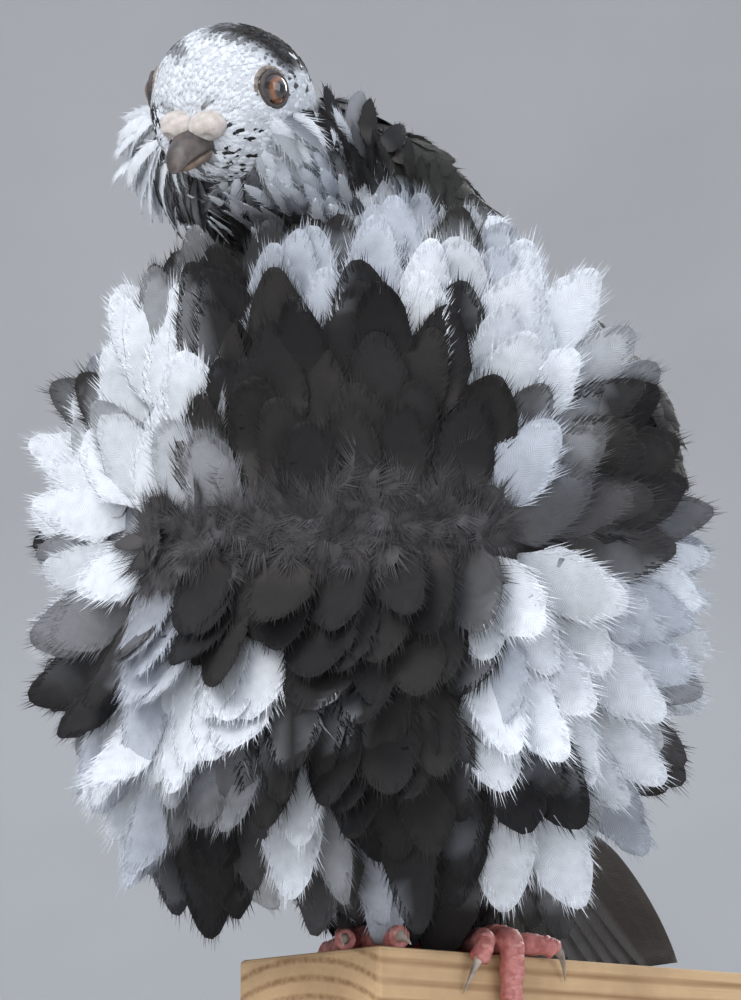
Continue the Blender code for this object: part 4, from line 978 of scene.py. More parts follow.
class Finish:
    """A Principled material whose nodes are added one by one."""

    def __init__(self, name: str, **values: float | tuple) -> None:
        """Makes the material with values on its shader's sockets."""
        self.material = bpy.data.materials.new(name)
        self.material.use_nodes = True
        self.tree = self.material.node_tree
        self.shader = self.tree.nodes["Principled BSDF"]
        for key, value in values.items():
            self.shader.inputs[key.replace("_", " ")].default_value = value

    def node(self, kind: str, sockets: dict | None = None, **settings: object) -> bpy.types.Node:
        """Adds a node with settings, and with values or links on its sockets."""
        node = self.tree.nodes.new(kind)
        for key, value in settings.items():
            setattr(node, key, value)
        for key, value in (sockets or {}).items():
            if isinstance(value, Socket):
                self.tree.links.new(value, node.inputs[key])
            else:
                node.inputs[key].default_value = value
        return node

    def give(self, socket: str, value: Socket) -> None:
        """Links a value to one of the shader's sockets."""
        self.tree.links.new(value, self.shader.inputs[socket])

    def place(self, scale: Size = (1, 1, 1), turn: float = 0.0) -> Socket:
        """Object coordinates, stretched and turned about Z."""
        where = self.node("ShaderNodeTexCoord").outputs["Object"]
        sockets = {"Vector": where, "Rotation": (0, 0, turn)}
        level = self.node("ShaderNodeMapping", sockets, vector_type="POINT").outputs["Vector"]
        return self.node("ShaderNodeMapping", {"Vector": level, "Scale": scale}).outputs["Vector"]

    def noise(self, scale: float, where: Socket | None = None, detail: float = 4.0) -> Socket:
        """A noise value from 0 to 1."""
        sockets = {"Scale": scale, "Detail": detail}
        sockets["Vector"] = where or self.place()
        return self.node("ShaderNodeTexNoise", sockets).outputs["Fac"]

    def attribute(self, name: str, output: str = "Color") -> Socket:
        """A value that the mesh holds."""
        return self.node("ShaderNodeAttribute", attribute_name=name).outputs[output]

    def coat(self, shade: Socket) -> None:
        """Gives the shader the coat's colours, times a shade."""
        self.give("Base Color", self.blended(1.0, self.attribute(COAT), shade, "MULTIPLY"))

    def ramp(self, value: Socket, stops: Sequence[tuple[float, Rgb]]) -> Socket:
        """Colours along a value."""
        node = self.node("ShaderNodeValToRGB", {"Fac": value})
        elements = node.color_ramp.elements
        while len(elements) < len(stops):
            elements.new(0.5)
        for element, (place, colour) in zip(elements, stops):
            element.position = place
            element.color = (*colour, 1.0)
        return node.outputs["Color"]

    def blended(self, share: Socket | float, a: object, b: object, kind: str = "MIX") -> Socket:
        """Two colours mixed."""
        node = self.node("ShaderNodeMix", data_type="RGBA", blend_type=kind)
        for socket, value in ((node.inputs[0], share), (node.inputs[6], a), (node.inputs[7], b)):
            if isinstance(value, Socket):
                self.tree.links.new(value, socket)
            else:
                socket.default_value = value if isinstance(value, float) else (*value, 1.0)
        return node.outputs[2]

    def relief(self, height: Socket, strength: float, distance: float) -> None:
        """Bumps from a height."""
        sockets = {"Height": height, "Strength": strength, "Distance": distance}
        self.give("Normal", self.node("ShaderNodeBump", sockets).outputs["Normal"])

    def math(self, operation: str, *values: Socket | float) -> Socket:
        """Arithmetic on values."""
        return self.node("ShaderNodeMath", dict(enumerate(values)), operation=operation).outputs[0]

    def mapped(self, value: Socket, low: float, high: float) -> Socket:
        """A value from 0 to 1 stretched to low and high."""
        return self.node("ShaderNodeMapRange", {"Value": value, "To Min": low, "To Max": high}).outputs[0]


@dataclass(frozen=True)
class FeatherFinish:
    """The coat's material: colours from the markings, finely mottled, painted barb shade, with a soft
    sheen.
    """

    name: str
    roughness: float = 0.68
    sheen: float = 0.03

    def build(self) -> Material:
        """Makes the material."""
        finish = Finish(self.name, Sheen_Weight=self.sheen, Sheen_Roughness=0.45, Specular_IOR_Level=0.22)
        line, spare = barb_lines(finish, 15000.0)
        mottle = finish.mapped(finish.noise(520, detail=6.0), 0.78, 1.18)
        # Painted shade in the barb lines' grooves, painted highlight on their ridges
        shade = finish.blended(1.0, mottle, finish.mapped(line, 0.86, 1.07), "MULTIPLY")
        finish.coat(shade)
        finish.give("Roughness", finish.mapped(spare, self.roughness - 0.12, self.roughness + 0.14))
        finish.relief(line, 0.35, 0.00008)
        return finish.material


def barb_lines(finish: Finish, count: float) -> tuple[Socket, Socket]:
    """Fine lines that slant from a feather's shaft, and the noise that breaks them, both from 0 to 1."""
    parts = finish.node("ShaderNodeSeparateXYZ", {"Vector": finish.attribute(VANE, "Vector")})
    lean = finish.math("SUBTRACT", parts.outputs["Y"], finish.math("ABSOLUTE", parts.outputs["X"]))
    torn = finish.noise(420, detail=6.0)
    line = finish.math("ADD", finish.math("MULTIPLY", lean, count), finish.math("MULTIPLY", torn, 26.0))
    sockets = {"Value": finish.math("SINE", line), "From Min": -1.0}
    return finish.node("ShaderNodeMapRange", sockets).outputs[0], torn


@dataclass(frozen=True)
class VaneFinish:
    """A flight feather's material: fine slanting barbs either side of the shaft, with painted barb shade.
    """

    name: str

    def build(self) -> Material:
        """Makes the material."""
        finish = Finish(self.name, Sheen_Weight=0.2, Specular_IOR_Level=0.35)
        height, torn = barb_lines(finish, 9000.0)
        # Painted shade in the barb lines' grooves, painted highlight on their ridges
        shade = finish.mapped(height, 0.82, 1.12)
        finish.coat(shade)
        finish.give("Roughness", finish.mapped(torn, 0.42, 0.66))
        finish.relief(height, 0.5, 0.00015)
        return finish.material


@dataclass(frozen=True)
class SkinFinish:
    """The skin that shows between feathers, under the coat's colours."""

    name: str = "skin_under_coat"

    def build(self) -> Material:
        """Makes the material."""
        finish = Finish(self.name, Specular_IOR_Level=0.25)
        finish.coat(finish.mapped(finish.noise(1500, detail=5.0), 0.55, 1.05))
        finish.give("Roughness", finish.mapped(finish.noise(600), 0.75, 0.95))
        finish.relief(finish.noise(2400, detail=4.0), 0.5, 0.0003)
        return finish.material


@dataclass(frozen=True)
class BareFinish:
    """Bare skin, powder or horn: two colours in clouds, fine bumps."""

    name: str
    light: Rgb
    dark: Rgb
    roughness: Pair = (0.5, 0.7)
    scale: float = 900.0
    bump: float = 0.0002
    soft: float = 0.0

    def build(self) -> Material:
        """Makes the material."""
        finish = Finish(self.name, Subsurface_Weight=self.soft, Subsurface_Scale=0.002)
        cloud = finish.noise(self.scale, detail=5.0)
        finish.give("Base Color", finish.ramp(cloud, ((0.34, self.dark), (0.62, self.light))))
        finish.give("Roughness", finish.mapped(cloud, *self.roughness))
        finish.relief(finish.noise(self.scale * 3.2, detail=4.0), 0.6, self.bump)
        return finish.material


EYE_RING_SKIN = BareFinish(
    "eye_ring_skin", (0.27, 0.225, 0.19), (0.13, 0.105, 0.09), (0.5, 0.7), 1500, 0.0002, 0.1
)
LID_RIM = BareFinish("lid_rim", (0.065, 0.05, 0.048), (0.03, 0.024, 0.024), (0.35, 0.5), 1800)
CERE_POWDER = BareFinish(
    "cere_powder", (0.50, 0.46, 0.435), (0.37, 0.33, 0.305), (0.8, 0.95), 700, 0.00015, 0.12
)
UPPER_HORN = BareFinish(
    "beak_dark", (0.085, 0.067, 0.060), (0.036, 0.029, 0.028), (0.38, 0.55), 500, 0.0001
)
LOWER_HORN = BareFinish("beak_pale", (0.30, 0.22, 0.17), (0.15, 0.105, 0.082), (0.4, 0.58), 500, 0.0001)
FOOT_SKIN = BareFinish(
    "foot_skin", (0.56, 0.215, 0.195), (0.36, 0.105, 0.095), (0.42, 0.6), 700, 0.0002, 0.2
)
FOOT_SCUTES = BareFinish(
    "foot_scutes", (0.60, 0.26, 0.235), (0.44, 0.15, 0.135), (0.32, 0.5), 900, 0.0001, 0.12
)
CLAW_HORN = BareFinish("claw_horn", (0.46, 0.39, 0.33), (0.15, 0.12, 0.105), (0.3, 0.45), 260, 0.0001)


@dataclass(frozen=True)
class EyeFinish:
    """A glossy eye: dark pupil, orange-brown iris with rays, dark rim."""

    name: str = "eye_wet"

    def build(self) -> Material:
        """Makes the material."""
        finish = Finish(self.name, Roughness=0.06, Coat_Weight=1.0, Coat_Roughness=0.02)
        away = finish.attribute(GAZE, "Fac")
        rays = finish.noise(2600, detail=3.0)
        reach = finish.math("ADD", away, finish.mapped(rays, -0.03, 0.03))
        stops = (
            (0.30, (0.004, 0.003, 0.003)),
            (0.335, (0.07, 0.024, 0.010)),
            (0.44, (0.20, 0.075, 0.028)),
            (0.56, (0.11, 0.038, 0.015)),
            (0.64, (0.012, 0.008, 0.007)),
        )
        finish.give("Base Color", finish.ramp(reach, stops))
        return finish.material


@dataclass(frozen=True)
class TimberFinish:
    """Sawn softwood: growth rings that run on from the end grain to the faces, saw marks and dust."""

    name: str
    light: Rgb = (0.56, 0.38, 0.215)
    dark: Rgb = (0.27, 0.145, 0.068)
    dirt: Rgb = (0.62, 0.60, 0.58)
    turn: float = STANCE.beam_turn
    ring: float = 300.0
    heart: float = -0.035

    def build(self) -> Material:
        """Makes the material."""
        finish = Finish(self.name, Specular_IOR_Level=0.25)
        where = finish.place((0.08, 1.0, 1.0), -self.turn)
        sway = finish.noise(14, where, 3.0)
        parts = finish.node("ShaderNodeSeparateXYZ", {"Vector": where})
        y = finish.math("ADD", parts.outputs["Y"], finish.mapped(sway, -0.010, 0.010))
        z = finish.math("ADD", parts.outputs["Z"], self.heart)
        flat = finish.node("ShaderNodeCombineXYZ", {"X": y, "Y": z})
        away = finish.node("ShaderNodeVectorMath", {0: flat.outputs[0]}, operation="LENGTH")
        rings = finish.math("SINE", finish.math("MULTIPLY", away.outputs["Value"], self.ring * 6.28))
        fibre = finish.noise(900, finish.place((0.04, 1.0, 1.0), -self.turn), 6.0)
        grain = finish.math("MULTIPLY", finish.mapped(rings, 0.15, 0.85), fibre)
        wood = finish.ramp(grain, ((0.10, self.light), (0.62, self.dark)))
        dirt = finish.ramp(finish.noise(60, detail=6.0), ((0.30, self.dirt), (0.62, (1.0, 1.0, 1.0))))
        finish.give("Base Color", finish.blended(0.8, wood, dirt, "MULTIPLY"))
        finish.give("Roughness", finish.mapped(fibre, 0.68, 0.92))
        finish.relief(fibre, 0.7, 0.0005)
        return finish.material


@dataclass(frozen=True)
class SteelFinish:
    """Turned steel with fine scratches."""

    name: str = "stand_steel_turned"

    def build(self) -> Material:
        """Makes the material."""
        finish = Finish(self.name, Metallic=1.0)
        marks = finish.noise(240, finish.place((1.0, 1.0, 14.0)), 5.0)
        tones = (0.3, (0.50, 0.50, 0.51)), (0.7, (0.62, 0.62, 0.62))
        finish.give("Base Color", finish.ramp(marks, tones))
        finish.give("Roughness", finish.mapped(marks, 0.22, 0.42))
        finish.relief(marks, 0.2, 0.0001)
        return finish.material


class Skin:
    """One closed skin of torso, neck, head, wings, rump and thighs, inside the coat."""

    def __init__(self, shells: list[Shell], voxel: float = 0.0015) -> None:
        """Joins the shells to one surface and smooths it.

        Args:
            shells: closed surfaces that overlap.
            voxel: how finely they are joined.
        """
        self.obj = solid("skin", shells, SkinFinish().build())
        melted(self.obj, voxel, 5)
        self.unwrap()
        self.tint()

    def unwrap(self) -> None:
        """Unwraps the skin and keeps where each of its points lands."""
        mesh = self.obj.data
        bpy.context.view_layer.objects.active = self.obj
        self.obj.select_set(True)
        mesh.uv_layers.new(name=UV_NAME)
        bpy.ops.object.mode_set(mode="EDIT")
        bpy.ops.mesh.select_all(action="SELECT")
        bpy.ops.uv.smart_project(angle_limit=math.radians(66), island_margin=0.004)
        bpy.ops.object.mode_set(mode="OBJECT")
        self.places = np.zeros((len(mesh.vertices), 2))
        corners = column(mesh.loops, "vertex_index", kind=np.int32)
        self.places[corners] = column(mesh.uv_layers[UV_NAME].data, "uv", 2)
        self.points = column(mesh.vertices, "co", 3).astype(float)
        self.tree = kdtree.KDTree(len(self.points))
        for index, point in enumerate(self.points):
            self.tree.insert(point, index)
        self.tree.balance()

    def unwrapped(self, roots: Array) -> Array:
        """Where roots land on the unwrap, by the skin's nearest point."""
        return np.array([self.places[self.tree.find(Vector(root))[1]] for root in roots])

    def tint(self) -> None:
        """Gives the skin the coat's markings, dimmed as it is in the shade of the feathers."""
        facing = -column(self.obj.data.vertices, "normal", 3)[:, 1]
        colours = PLUMAGE.colour(self.points, facing, np.full(len(self.points), 0.9))
        far = np.linalg.norm(self.points - np.array(STANCE.head.translation), axis=1)
        bright = 0.95 - 0.40 * smooth(far, 0.014, 0.022)
        paint(self.obj.data, colours * bright[:, None] + np.array(BUFF.value) * 0.02)


@dataclass
class Frill:
    """The breast's feathers: up above a level parting, down below it and out at the sides.

    The parting lies at a height and a turn, and runs half its length each way. Rows of feathers go round it
    in steps, from the first to the last, within limits of degrees at each height.
    """

    torso: Torso
    height: float = 0.070
    half: float = 0.031
    turn: float = math.radians(8)
    girth_radius: float = 0.0495
    first: float = 0.0030
    last: float = 0.0500
    step: float = 0.0062
    pitch: float = 0.0066
    lengths: tuple = ((0.0, 0.0205), (0.015, 0.0235), (0.0265, 0.0250), (0.038, 0.0250), (0.055, 0.0235))
    width: float = 0.0135
    lift: float = 13.0
    curl: float = 21.0
    flare: float = 5.0
    roll: float = math.radians(6)
    facing: float = 0.45
    loose: Size = (5.0, 16.0, 14.0)
    hem: Size = (0.030, 0.046, 0.30)
    overlap: float = 3.0
    limits: tuple = (
        (0.0185, -114, 114),
        (0.0640, -110, 106),
        (0.0760, -84, 88),
        (0.0900, -76, 78),
        (0.1000, -72, 66),
        (0.1190, -64, 48),
    )

    def flock(self, draw: Draw) -> tuple[Flock, Array]:
        """The feathers, and which way each points round the parting."""
        rows = []
        for row, offset in enumerate(np.arange(self.first, self.last, self.step)):
            girth = 4 * self.half + 2 * math.pi * offset
            count = round(girth / self.pitch)
            spot = np.arange(count) + 0.5 * (row % 2) + draw.uniform(-0.5, 0.5, count)
            walk = (spot / count % 1) * girth
            shift = offset + draw.uniform(-0.45, 0.45, count) * self.step
            rows.append(np.stack([*self.stadium(walk, shift, girth), shift], -1))
        across, up, angle, offset = np.concatenate(rows).T
        height, azimuth = self.height + up, self.turn + across / self.girth_radius
        lowest, highest = self.limits[0][0], self.limits[-1][0]
        right, left = spread(self.limits, np.clip(height, lowest, highest)).T
        degrees = np.degrees(azimuth)
        keep = (height > lowest) & (height < highest) & (degrees > right) & (degrees < left)
        across, up, angle, offset, height, azimuth = (
            a[keep] for a in (across, up, angle, offset, height, azimuth)
        )
        root, around, rising, normal = self.torso.frame(azimuth, height)
        along = around * np.cos(angle)[:, None] + rising * np.sin(angle)[:, None]
        side = np.abs(np.cos(angle))
        low = smooth(-up, *self.hem[:2]) * (0.8 + 1.0 * smooth(azimuth, 0.25, 0.8))
        length = spread(self.lengths, offset)[:, 0] * (1 + self.hem[2] * low)
        curl = (self.curl + self.flare * side) * (1 - 0.6 * np.minimum(low, 1.3))
        roll = self.roll - self.facing * azimuth * np.sin(angle)
        size, pose = (length, self.width), (self.lift + self.flare * side, curl)
        return Flock.grown((root, along, normal), draw, size, pose, self.loose, roll), angle

    def stadium(self, walk: Array, offset: Array, girth: float) -> tuple[Array, Array, Array]:
        """Where walks round the parting have come to: across, up and the way out."""
        share = walk / girth * (4 * self.half + 2 * math.pi * offset)
        straight, bend = 2 * self.half, math.pi * offset
        one, two, three = share < straight, share < straight + bend, share < 2 * straight + bend
        quarter = math.pi / 2
        right = quarter - (share - straight) / offset
        left = -quarter - (share - 2 * straight - bend) / offset
        angle = np.where(one, quarter, np.where(two, right, np.where(three, -quarter, left)))
        run = np.where(one, share - self.half, self.half - (share - straight - bend))
        ends = np.where(two, self.half, -self.half) + offset * np.cos(angle)
        return np.where(one | (~two & three), run, ends), offset * np.sin(angle), angle

    def beyond(self, azimuth: Array, height: Array) -> Array:
        """Which places of the torso the frill leaves free."""
        at = np.clip(height, self.limits[0][0], self.limits[-1][0])
        right, left = spread(self.limits, at).T
        degrees = np.degrees(azimuth)
        inward = self.overlap
        return (degrees < right + inward) | (degrees > left - inward) | (height > self.limits[-1][0])

    def past(self, azimuth: Array, height: Array) -> Array:
        """Which places inside the frill's limits lie outside its last row."""
        across = np.maximum(np.abs(azimuth - self.turn) * self.girth_radius - self.half, 0.0)
        outside = np.hypot(across, height - self.height) > self.last - self.step
        return outside & ~self.beyond(azimuth, height)


@dataclass(frozen=True)
class Region:
    """How one region's feathers are spaced over its surface, sized and posed, in metres and degrees.

    The head's width is a share of its feathers' length, and the wing's step, low and high are shares of
    its line.
    """

    pitch: float
    step: float
    low: float
    high: float
    length: float
    width: float
    lift: float
    curl: float
    loose: Size
    longer: float = 0.0

    def rows(self, surface: Surface) -> tuple[Array, Array]:
        """Staggered places over a surface."""
        return surface.rows(self.pitch, self.step, self.low, self.high)

    def grown(self, places: Places, draw: Draw, length: Array | float) -> Flock:
        """The region's feathers at places, of a length."""
        return Flock.grown(places, draw, (length, self.width), (self.lift, self.curl), self.loose)


@dataclass(frozen=True)
class Ruff:
    """The long curled feathers of one cheek, in metres and degrees."""

    side: Side
    count: int
    length: float
    lift: float
    curl: float
    width: float = 0.0040
    loose: Size = (12.0, 22.0, 15.0)
    depth: float = 0.0090
    low: float = -84.0
    high: float = -6.0
    back: float = 0.55
    roll: float = math.radians(35)


@dataclass
class Coat:
    """All the small feathers, region by region."""

    torso: Torso
    neck: Tube
    head: HeadForm
    rump: Tube
    wings: dict[Side, WingLine]
    skin: Skin
    draw: Draw
    material: Material
    frill_barbs: Barbs = Barbs(90, 0.0032, 10, wave=0.05, end=0.86)
    body_barbs: Barbs = Barbs(20, 0.0018, 7, wave=0.04, end=0.90)
    thin_barbs: Barbs = Barbs(20, 0.0026, 6, half=0.00008, wave=0.08, end=0.78, slim=0.8)
    tuft_barbs: Barbs = Barbs(5, 0.0009, 4, half=0.00005, thickness=0.00005, hollow=0.2, end=0.88)
    down_barbs: Barbs = Barbs(
        44, 0.0040, 6, math.radians(60), math.radians(14), 0.00007, wave=0.04, end=0.72, slim=0.6
    )
    on_body: Region = Region(
        0.0052, 0.0042, 0.0185, 0.1355, 0.0135, 0.0096, 5.0, -11.0, (2.5, 5.0, 6.0), longer=0.004
    )
    on_rump: Region = Region(0.0050, 0.0050, -0.02, 0.34, 0.0150, 0.0090, 4.0, -6.0, (3.0, 6.0, 6.0))
    on_neck: Region = Region(
        0.0036, 0.0030, 0.10, 0.90, 0.0105, 0.0066, 5.0, -20.0, (4.0, 10.0, 12.0), longer=0.0035
    )
    on_head: Region = Region(
        0.00120, 0.00105, -0.0155, 0.0158, 0.0022, 0.74, 1.2, -15.0, (0.6, 1.5, 5.0), longer=0.0020
    )
    on_thigh: Region = Region(
        0.0030, 0.0034, 0.15, 0.86, 0.0085, 0.0052, 12.0, 12.0, (4.0, 8.0, 8.0), longer=0.0045
    )
    on_wing: Region = Region(
        0.0, 0.030, 0.03, 0.50, 0.0125, 0.0082, 5.0, 1.0, (2.0, 4.0, 5.0), longer=0.012
    )
    wing_columns: int = 9
    wing_sink: float = -0.0003
    ruffs: tuple = (Ruff(Side.RIGHT, 320, 0.0215, 80.0, -82.0), Ruff(Side.LEFT, 170, 0.0130, 44.0, -34.0))
    tufts: int = 300
    jitter: float = 0.05

    def build(self) -> None:
        """Makes every region's piece."""
        self.breast()
        self.body()
        self.collar()
        self.face()
        self.cheeks()
        self.coverts()
        self.thighs()
        self.flanks()
        self.tail_root()

    def piece(self, name: str, slot: str, *flocks: tuple[Flock, Barbs]) -> None:
        """Makes one piece of feathers."""
        plume = Plume(self.skin, self.draw)
        coat = Down.joined([plume.of(flock, barbs) for flock, barbs in flocks])
        handed(coat.piece(name, self.material), slot)

    @staticmethod
    def half_of(flock: Flock, side: Side) -> Array:
        """Which feathers grow on one side of the bird."""
        return (flock.root[:, 0] - STANCE.bird.translation.x) * side.value > 0

    def breast(self) -> None:
        """The frill, in an upper and a lower piece on each side, and the down along its parting."""
        flock, angle = Frill(self.torso).flock(self.draw)
        rising = np.sin(angle) > 0
        for side in Side:
            here = self.half_of(flock, side)
            for name, chosen in (("frill_upper", rising), ("frill_lower", ~rising)):
                frill = (flock.chosen(chosen & here), self.frill_barbs)
                self.piece(f"{name}_{side.label}", "torso_plumage", frill)
        self.piece("parting_down", "torso_plumage", (self.down(), self.down_barbs))

    def down(self) -> Flock:
        """Short downy tufts along the parting."""
        frill, count = Frill(self.torso), self.tufts
        azimuth = frill.turn + self.draw.uniform(-1.12, 1.12, count) * frill.half / frill.girth_radius
        height = frill.height + self.draw.normal(size=count) * 0.0036
        root, around, rising, normal = self.torso.frame(azimuth, height)
        heading = self.draw.uniform(0, 2 * math.pi, count)[:, None]
        along = around * np.cos(heading) * 0.5 + rising * np.sin(heading)
        size, pose = (0.0105, 0.0078), (13.0, 4.0)
        flock = Flock.grown((root, along, normal), self.draw, size, pose, (8.0, 16.0, 24.0))
        flock.tone = SMOKE
        return flock

    def body(self) -> None:
        """The mantle, sides, rump and belly."""
        flock = self.laid(Frill(self.torso).beyond)
        for side in Side:
            body = (flock.chosen(self.half_of(flock, side)), self.body_barbs)
            self.piece(f"body_feathers_{side.label}", "torso_plumage", body)

    def flanks(self) -> None:
        """The feathers low on the sides that fill up to the frill's last row."""
        flock = self.laid(Frill(self.torso).past)
        self.piece("flank_feathers", "torso_plumage", (flock, self.body_barbs))

    def laid(self, chosen: Callable[[Array, Array], Array]) -> Flock:
        """Feathers that lie down and back on the chosen places of the torso."""
        azimuth, height = self.on_body.rows(self.torso)
        keep = chosen(azimuth, height)
        azimuth, height = azimuth[keep], height[keep]
        azimuth = azimuth + self.draw.uniform(-0.03, 0.03, len(azimuth))
        root, around, rising, normal = self.torso.frame(azimuth, height)
        rearward = np.sign(azimuth)[:, None] * 0.35 * np.abs(np.sin(azimuth))[:, None]
        length = self.on_body.length + self.on_body.longer * smooth(-height, -0.09, -0.04)
        return self.on_body.grown((root, around * rearward - rising, normal), self.draw, length)

    def tail_root(self) -> None:
        """The coverts that run from the back and the belly on to the tail."""
        root, _, axis, normal = self.rump.frame(*self.on_rump.rows(self.rump))
        flock = self.on_rump.grown((root, axis, normal), self.draw, self.on_rump.length)
        self.piece("rump_feathers", "torso_plumage", (flock, self.body_barbs))

    def collar(self) -> None:
        """The neck's coat and the ruff that stands round the head."""
        region = self.on_neck
        u, v = region.rows(self.neck)
        u = u + self.draw.uniform(-self.jitter, self.jitter, len(u))
        root, _, axis, normal = self.neck.frame(u, v)
        nape = smooth(np.sin(u) + 0.5 * np.cos(u), -0.15, 0.45)
        ruff = smooth(v, 0.38, 0.60) * (1 - nape) ** 2
        right = smooth(-np.cos(u), -0.2, 0.6)
        back = turned(np.broadcast_to((0.0, 1.0, 0.0), root.shape), STANCE.bird)
        turn = math.pi * nape[:, None]
        along = axis * np.cos(turn) + back * np.sin(turn)
        size = (region.length + ruff * region.longer * right, region.width - 0.0032 * ruff)
        pose = (region.lift + ruff * 30, region.curl + ruff * 26)
        flock = Flock.grown((root, along, normal), self.draw, size, pose, region.loose)
        flat = nape > 0.25
        vanes = ((flock.chosen(flat), self.body_barbs), (flock.chosen(~flat), self.thin_barbs))
        self.piece("neck_feathers", "neck_plumage", *vanes)

    def face(self) -> None:
        """The head's short tufts, all lying back from the beak."""
        region = self.on_head
        u, v = region.rows(self.head)
        u = u + self.draw.uniform(-self.jitter, self.jitter, len(u))
        root, _, forward, normal = self.head.frame(u, v)
        keep = ~Face.bare_at(moved(root, STANCE.head.inverted()))
        length = region.length + region.longer * smooth(-v[keep], -0.012, 0.012)
        places = (root[keep], -forward[keep], normal[keep])
        size = (length, length * region.width)
        flock = Flock.grown(places, self.draw, size, (region.lift, region.curl), region.loose)
        self.piece("head_feathers", "head_plumage", (flock, self.tuft_barbs))

    def cheeks(self) -> None:
        """The long narrow curled feathers that fan back and down from the cheeks."""
        flocks = []
        for ruff in self.ruffs:
            sign = ruff.side.value
            forward = self.draw.uniform(-ruff.depth, ruff.depth, ruff.count)
            angle = np.radians(self.draw.uniform(ruff.low, ruff.high, ruff.count))
            half_width, half_height, middle = spread(self.head.stations, forward).T
            out = np.stack([sign * np.cos(angle), 0 * angle, np.sin(angle)], -1)
            down = np.stack([sign * np.sin(angle), 0 * angle + ruff.back, -np.cos(angle)], -1)
            root = np.stack([out[:, 0] * half_width, -forward, middle + out[:, 2] * half_height], -1)
            length = ruff.length * (0.72 + 0.28 * smooth(-angle, -0.2, 0.7))
            places = carried((root, down, out), STANCE.head)
            size, pose = (length, ruff.width), (ruff.lift, ruff.curl)
            flock = Flock.grown(places, self.draw, size, pose, ruff.loose, sign * ruff.roll)
            flock.front = 1.0
            flocks.append(flock)
        self.piece("cheek_feathers", "head_plumage", *((flock, self.thin_barbs) for flock in flocks))

    def coverts(self) -> None:
        """The wings' small feathers, in rows that lengthen towards the flight feathers."""
        region, columns = self.on_wing, self.wing_columns
        for side, wing in self.wings.items():
            starts = np.arange(region.low, region.high, region.step)
            t = np.repeat(starts, columns)
            stagger = 0.10 * (np.round(t / region.step) % 2)
            a = np.tile(np.linspace(-0.88, 0.88, columns), len(starts)) + stagger
            places = carried(wing.place(t, a, np.full(len(t), self.wing_sink)), STANCE.bird)
            length = region.length + region.longer * smooth(t, 0.18, 0.50)
            flock = region.grown(places, self.draw, length)
            self.piece(f"wing_coverts_{side.label}", "wing_plumage", (flock, self.body_barbs))

    def thighs(self) -> None:
        """The feathers that hang round the tops of the legs."""
        region, flocks = self.on_thigh, []
        for side in Side:
            tube = Legs.tube(side)
            u, v = region.rows(tube)
            root, _, _, normal = tube.frame(u, v)
            fall = unit(np.array(Legs.ends[side]) - np.array(Legs.tops[side]))
            down = turned(np.broadcast_to(fall, root.shape), STANCE.bird)
            length = region.length + region.longer * smooth(np.cos(u) * side.value, -0.6, 0.6)
            flocks.append(region.grown((root, down, normal), self.draw, length))
        self.piece("thigh_feathers", "leg_plumage", *((flock, self.body_barbs) for flock in flocks))


class Legs:
    """Where the feathered thighs start and end, in the bird's frame."""

    tops = {Side.LEFT: (0.0190, 0.0060, 0.0300), Side.RIGHT: (-0.0120, 0.0020, 0.0300)}
    ends = {Side.LEFT: (0.0175, 0.0064, 0.0085), Side.RIGHT: (-0.0040, 0.0013, 0.0085)}
    radii = (0.0095, 0.0042)

    @classmethod
    def tube(cls, side: Side) -> Tube:
        """A thigh as a tube."""
        top, foot = cls.tops[side], cls.ends[side]
        middle = tuple((a + b) / 2 for a, b in zip(top, foot))
        radii = cls.radii
        stations = ((0.0, top, radii[0]), (0.5, middle, sum(radii) / 2), (1.0, foot, radii[1]))
        return Tube(stations=stations)


# Across a quill's section, in half widths and thicknesses: over the top with its shaft, and back under it
LENS = (
    (-1.0, 0.0),
    (-0.5, 0.55),
    (-0.10, 0.75),
    (0.0, 2.2),
    (0.10, 0.75),
    (0.5, 0.55),
    (1.0, 0.0),
    (0.5, -0.45),
    (0.0, -1.4),
    (-0.5, -0.45),
)


@dataclass(frozen=True)
class Quill:
    """One flight feather: stations of place, ahead and face, and its widths along it."""

    spots: Array
    ahead: Array
    face: Array
    half: Array
    thickness: float = 0.00022
    hollow: float = 0.10

    def shell(self) -> tuple[Array, Array, Array]:
        """Points, triangles and vane coordinates of a thin lens with a raised shaft."""
        side = np.cross(self.ahead, self.face)
        rows, count = len(self.spots), len(LENS)
        slim = 0.35 + 0.65 * (1 - np.linspace(0, 1, rows) ** 3)
        run = np.concatenate([[0], np.cumsum(np.linalg.norm(np.diff(self.spots, axis=0), axis=1))])
        points, vane = [], []
        for across, up in LENS:
            out = self.half * across
            rise = up * self.thickness * slim - self.hollow * np.abs(out)
            points.append(self.spots + side * out[:, None] + self.face * rise[:, None])
            vane.append(np.stack([out, run, np.full(rows, up)], -1))
        points = np.stack(points, 1).reshape(-1, 3)
        vane = np.stack(vane, 1).reshape(-1, 3)
        quads = ring_quads(rows, count)
        triangles = np.concatenate([quads[:, [0, 1, 2]], quads[:, [0, 2, 3]]])
        fan = [(0, k + 1, k) for k in range(1, count - 1)]
        last = (rows - 1) * count
        triangles = np.concatenate([triangles, fan, [(last + a, last + c, last + b) for a, b, c in fan]])
        return points, triangles, vane


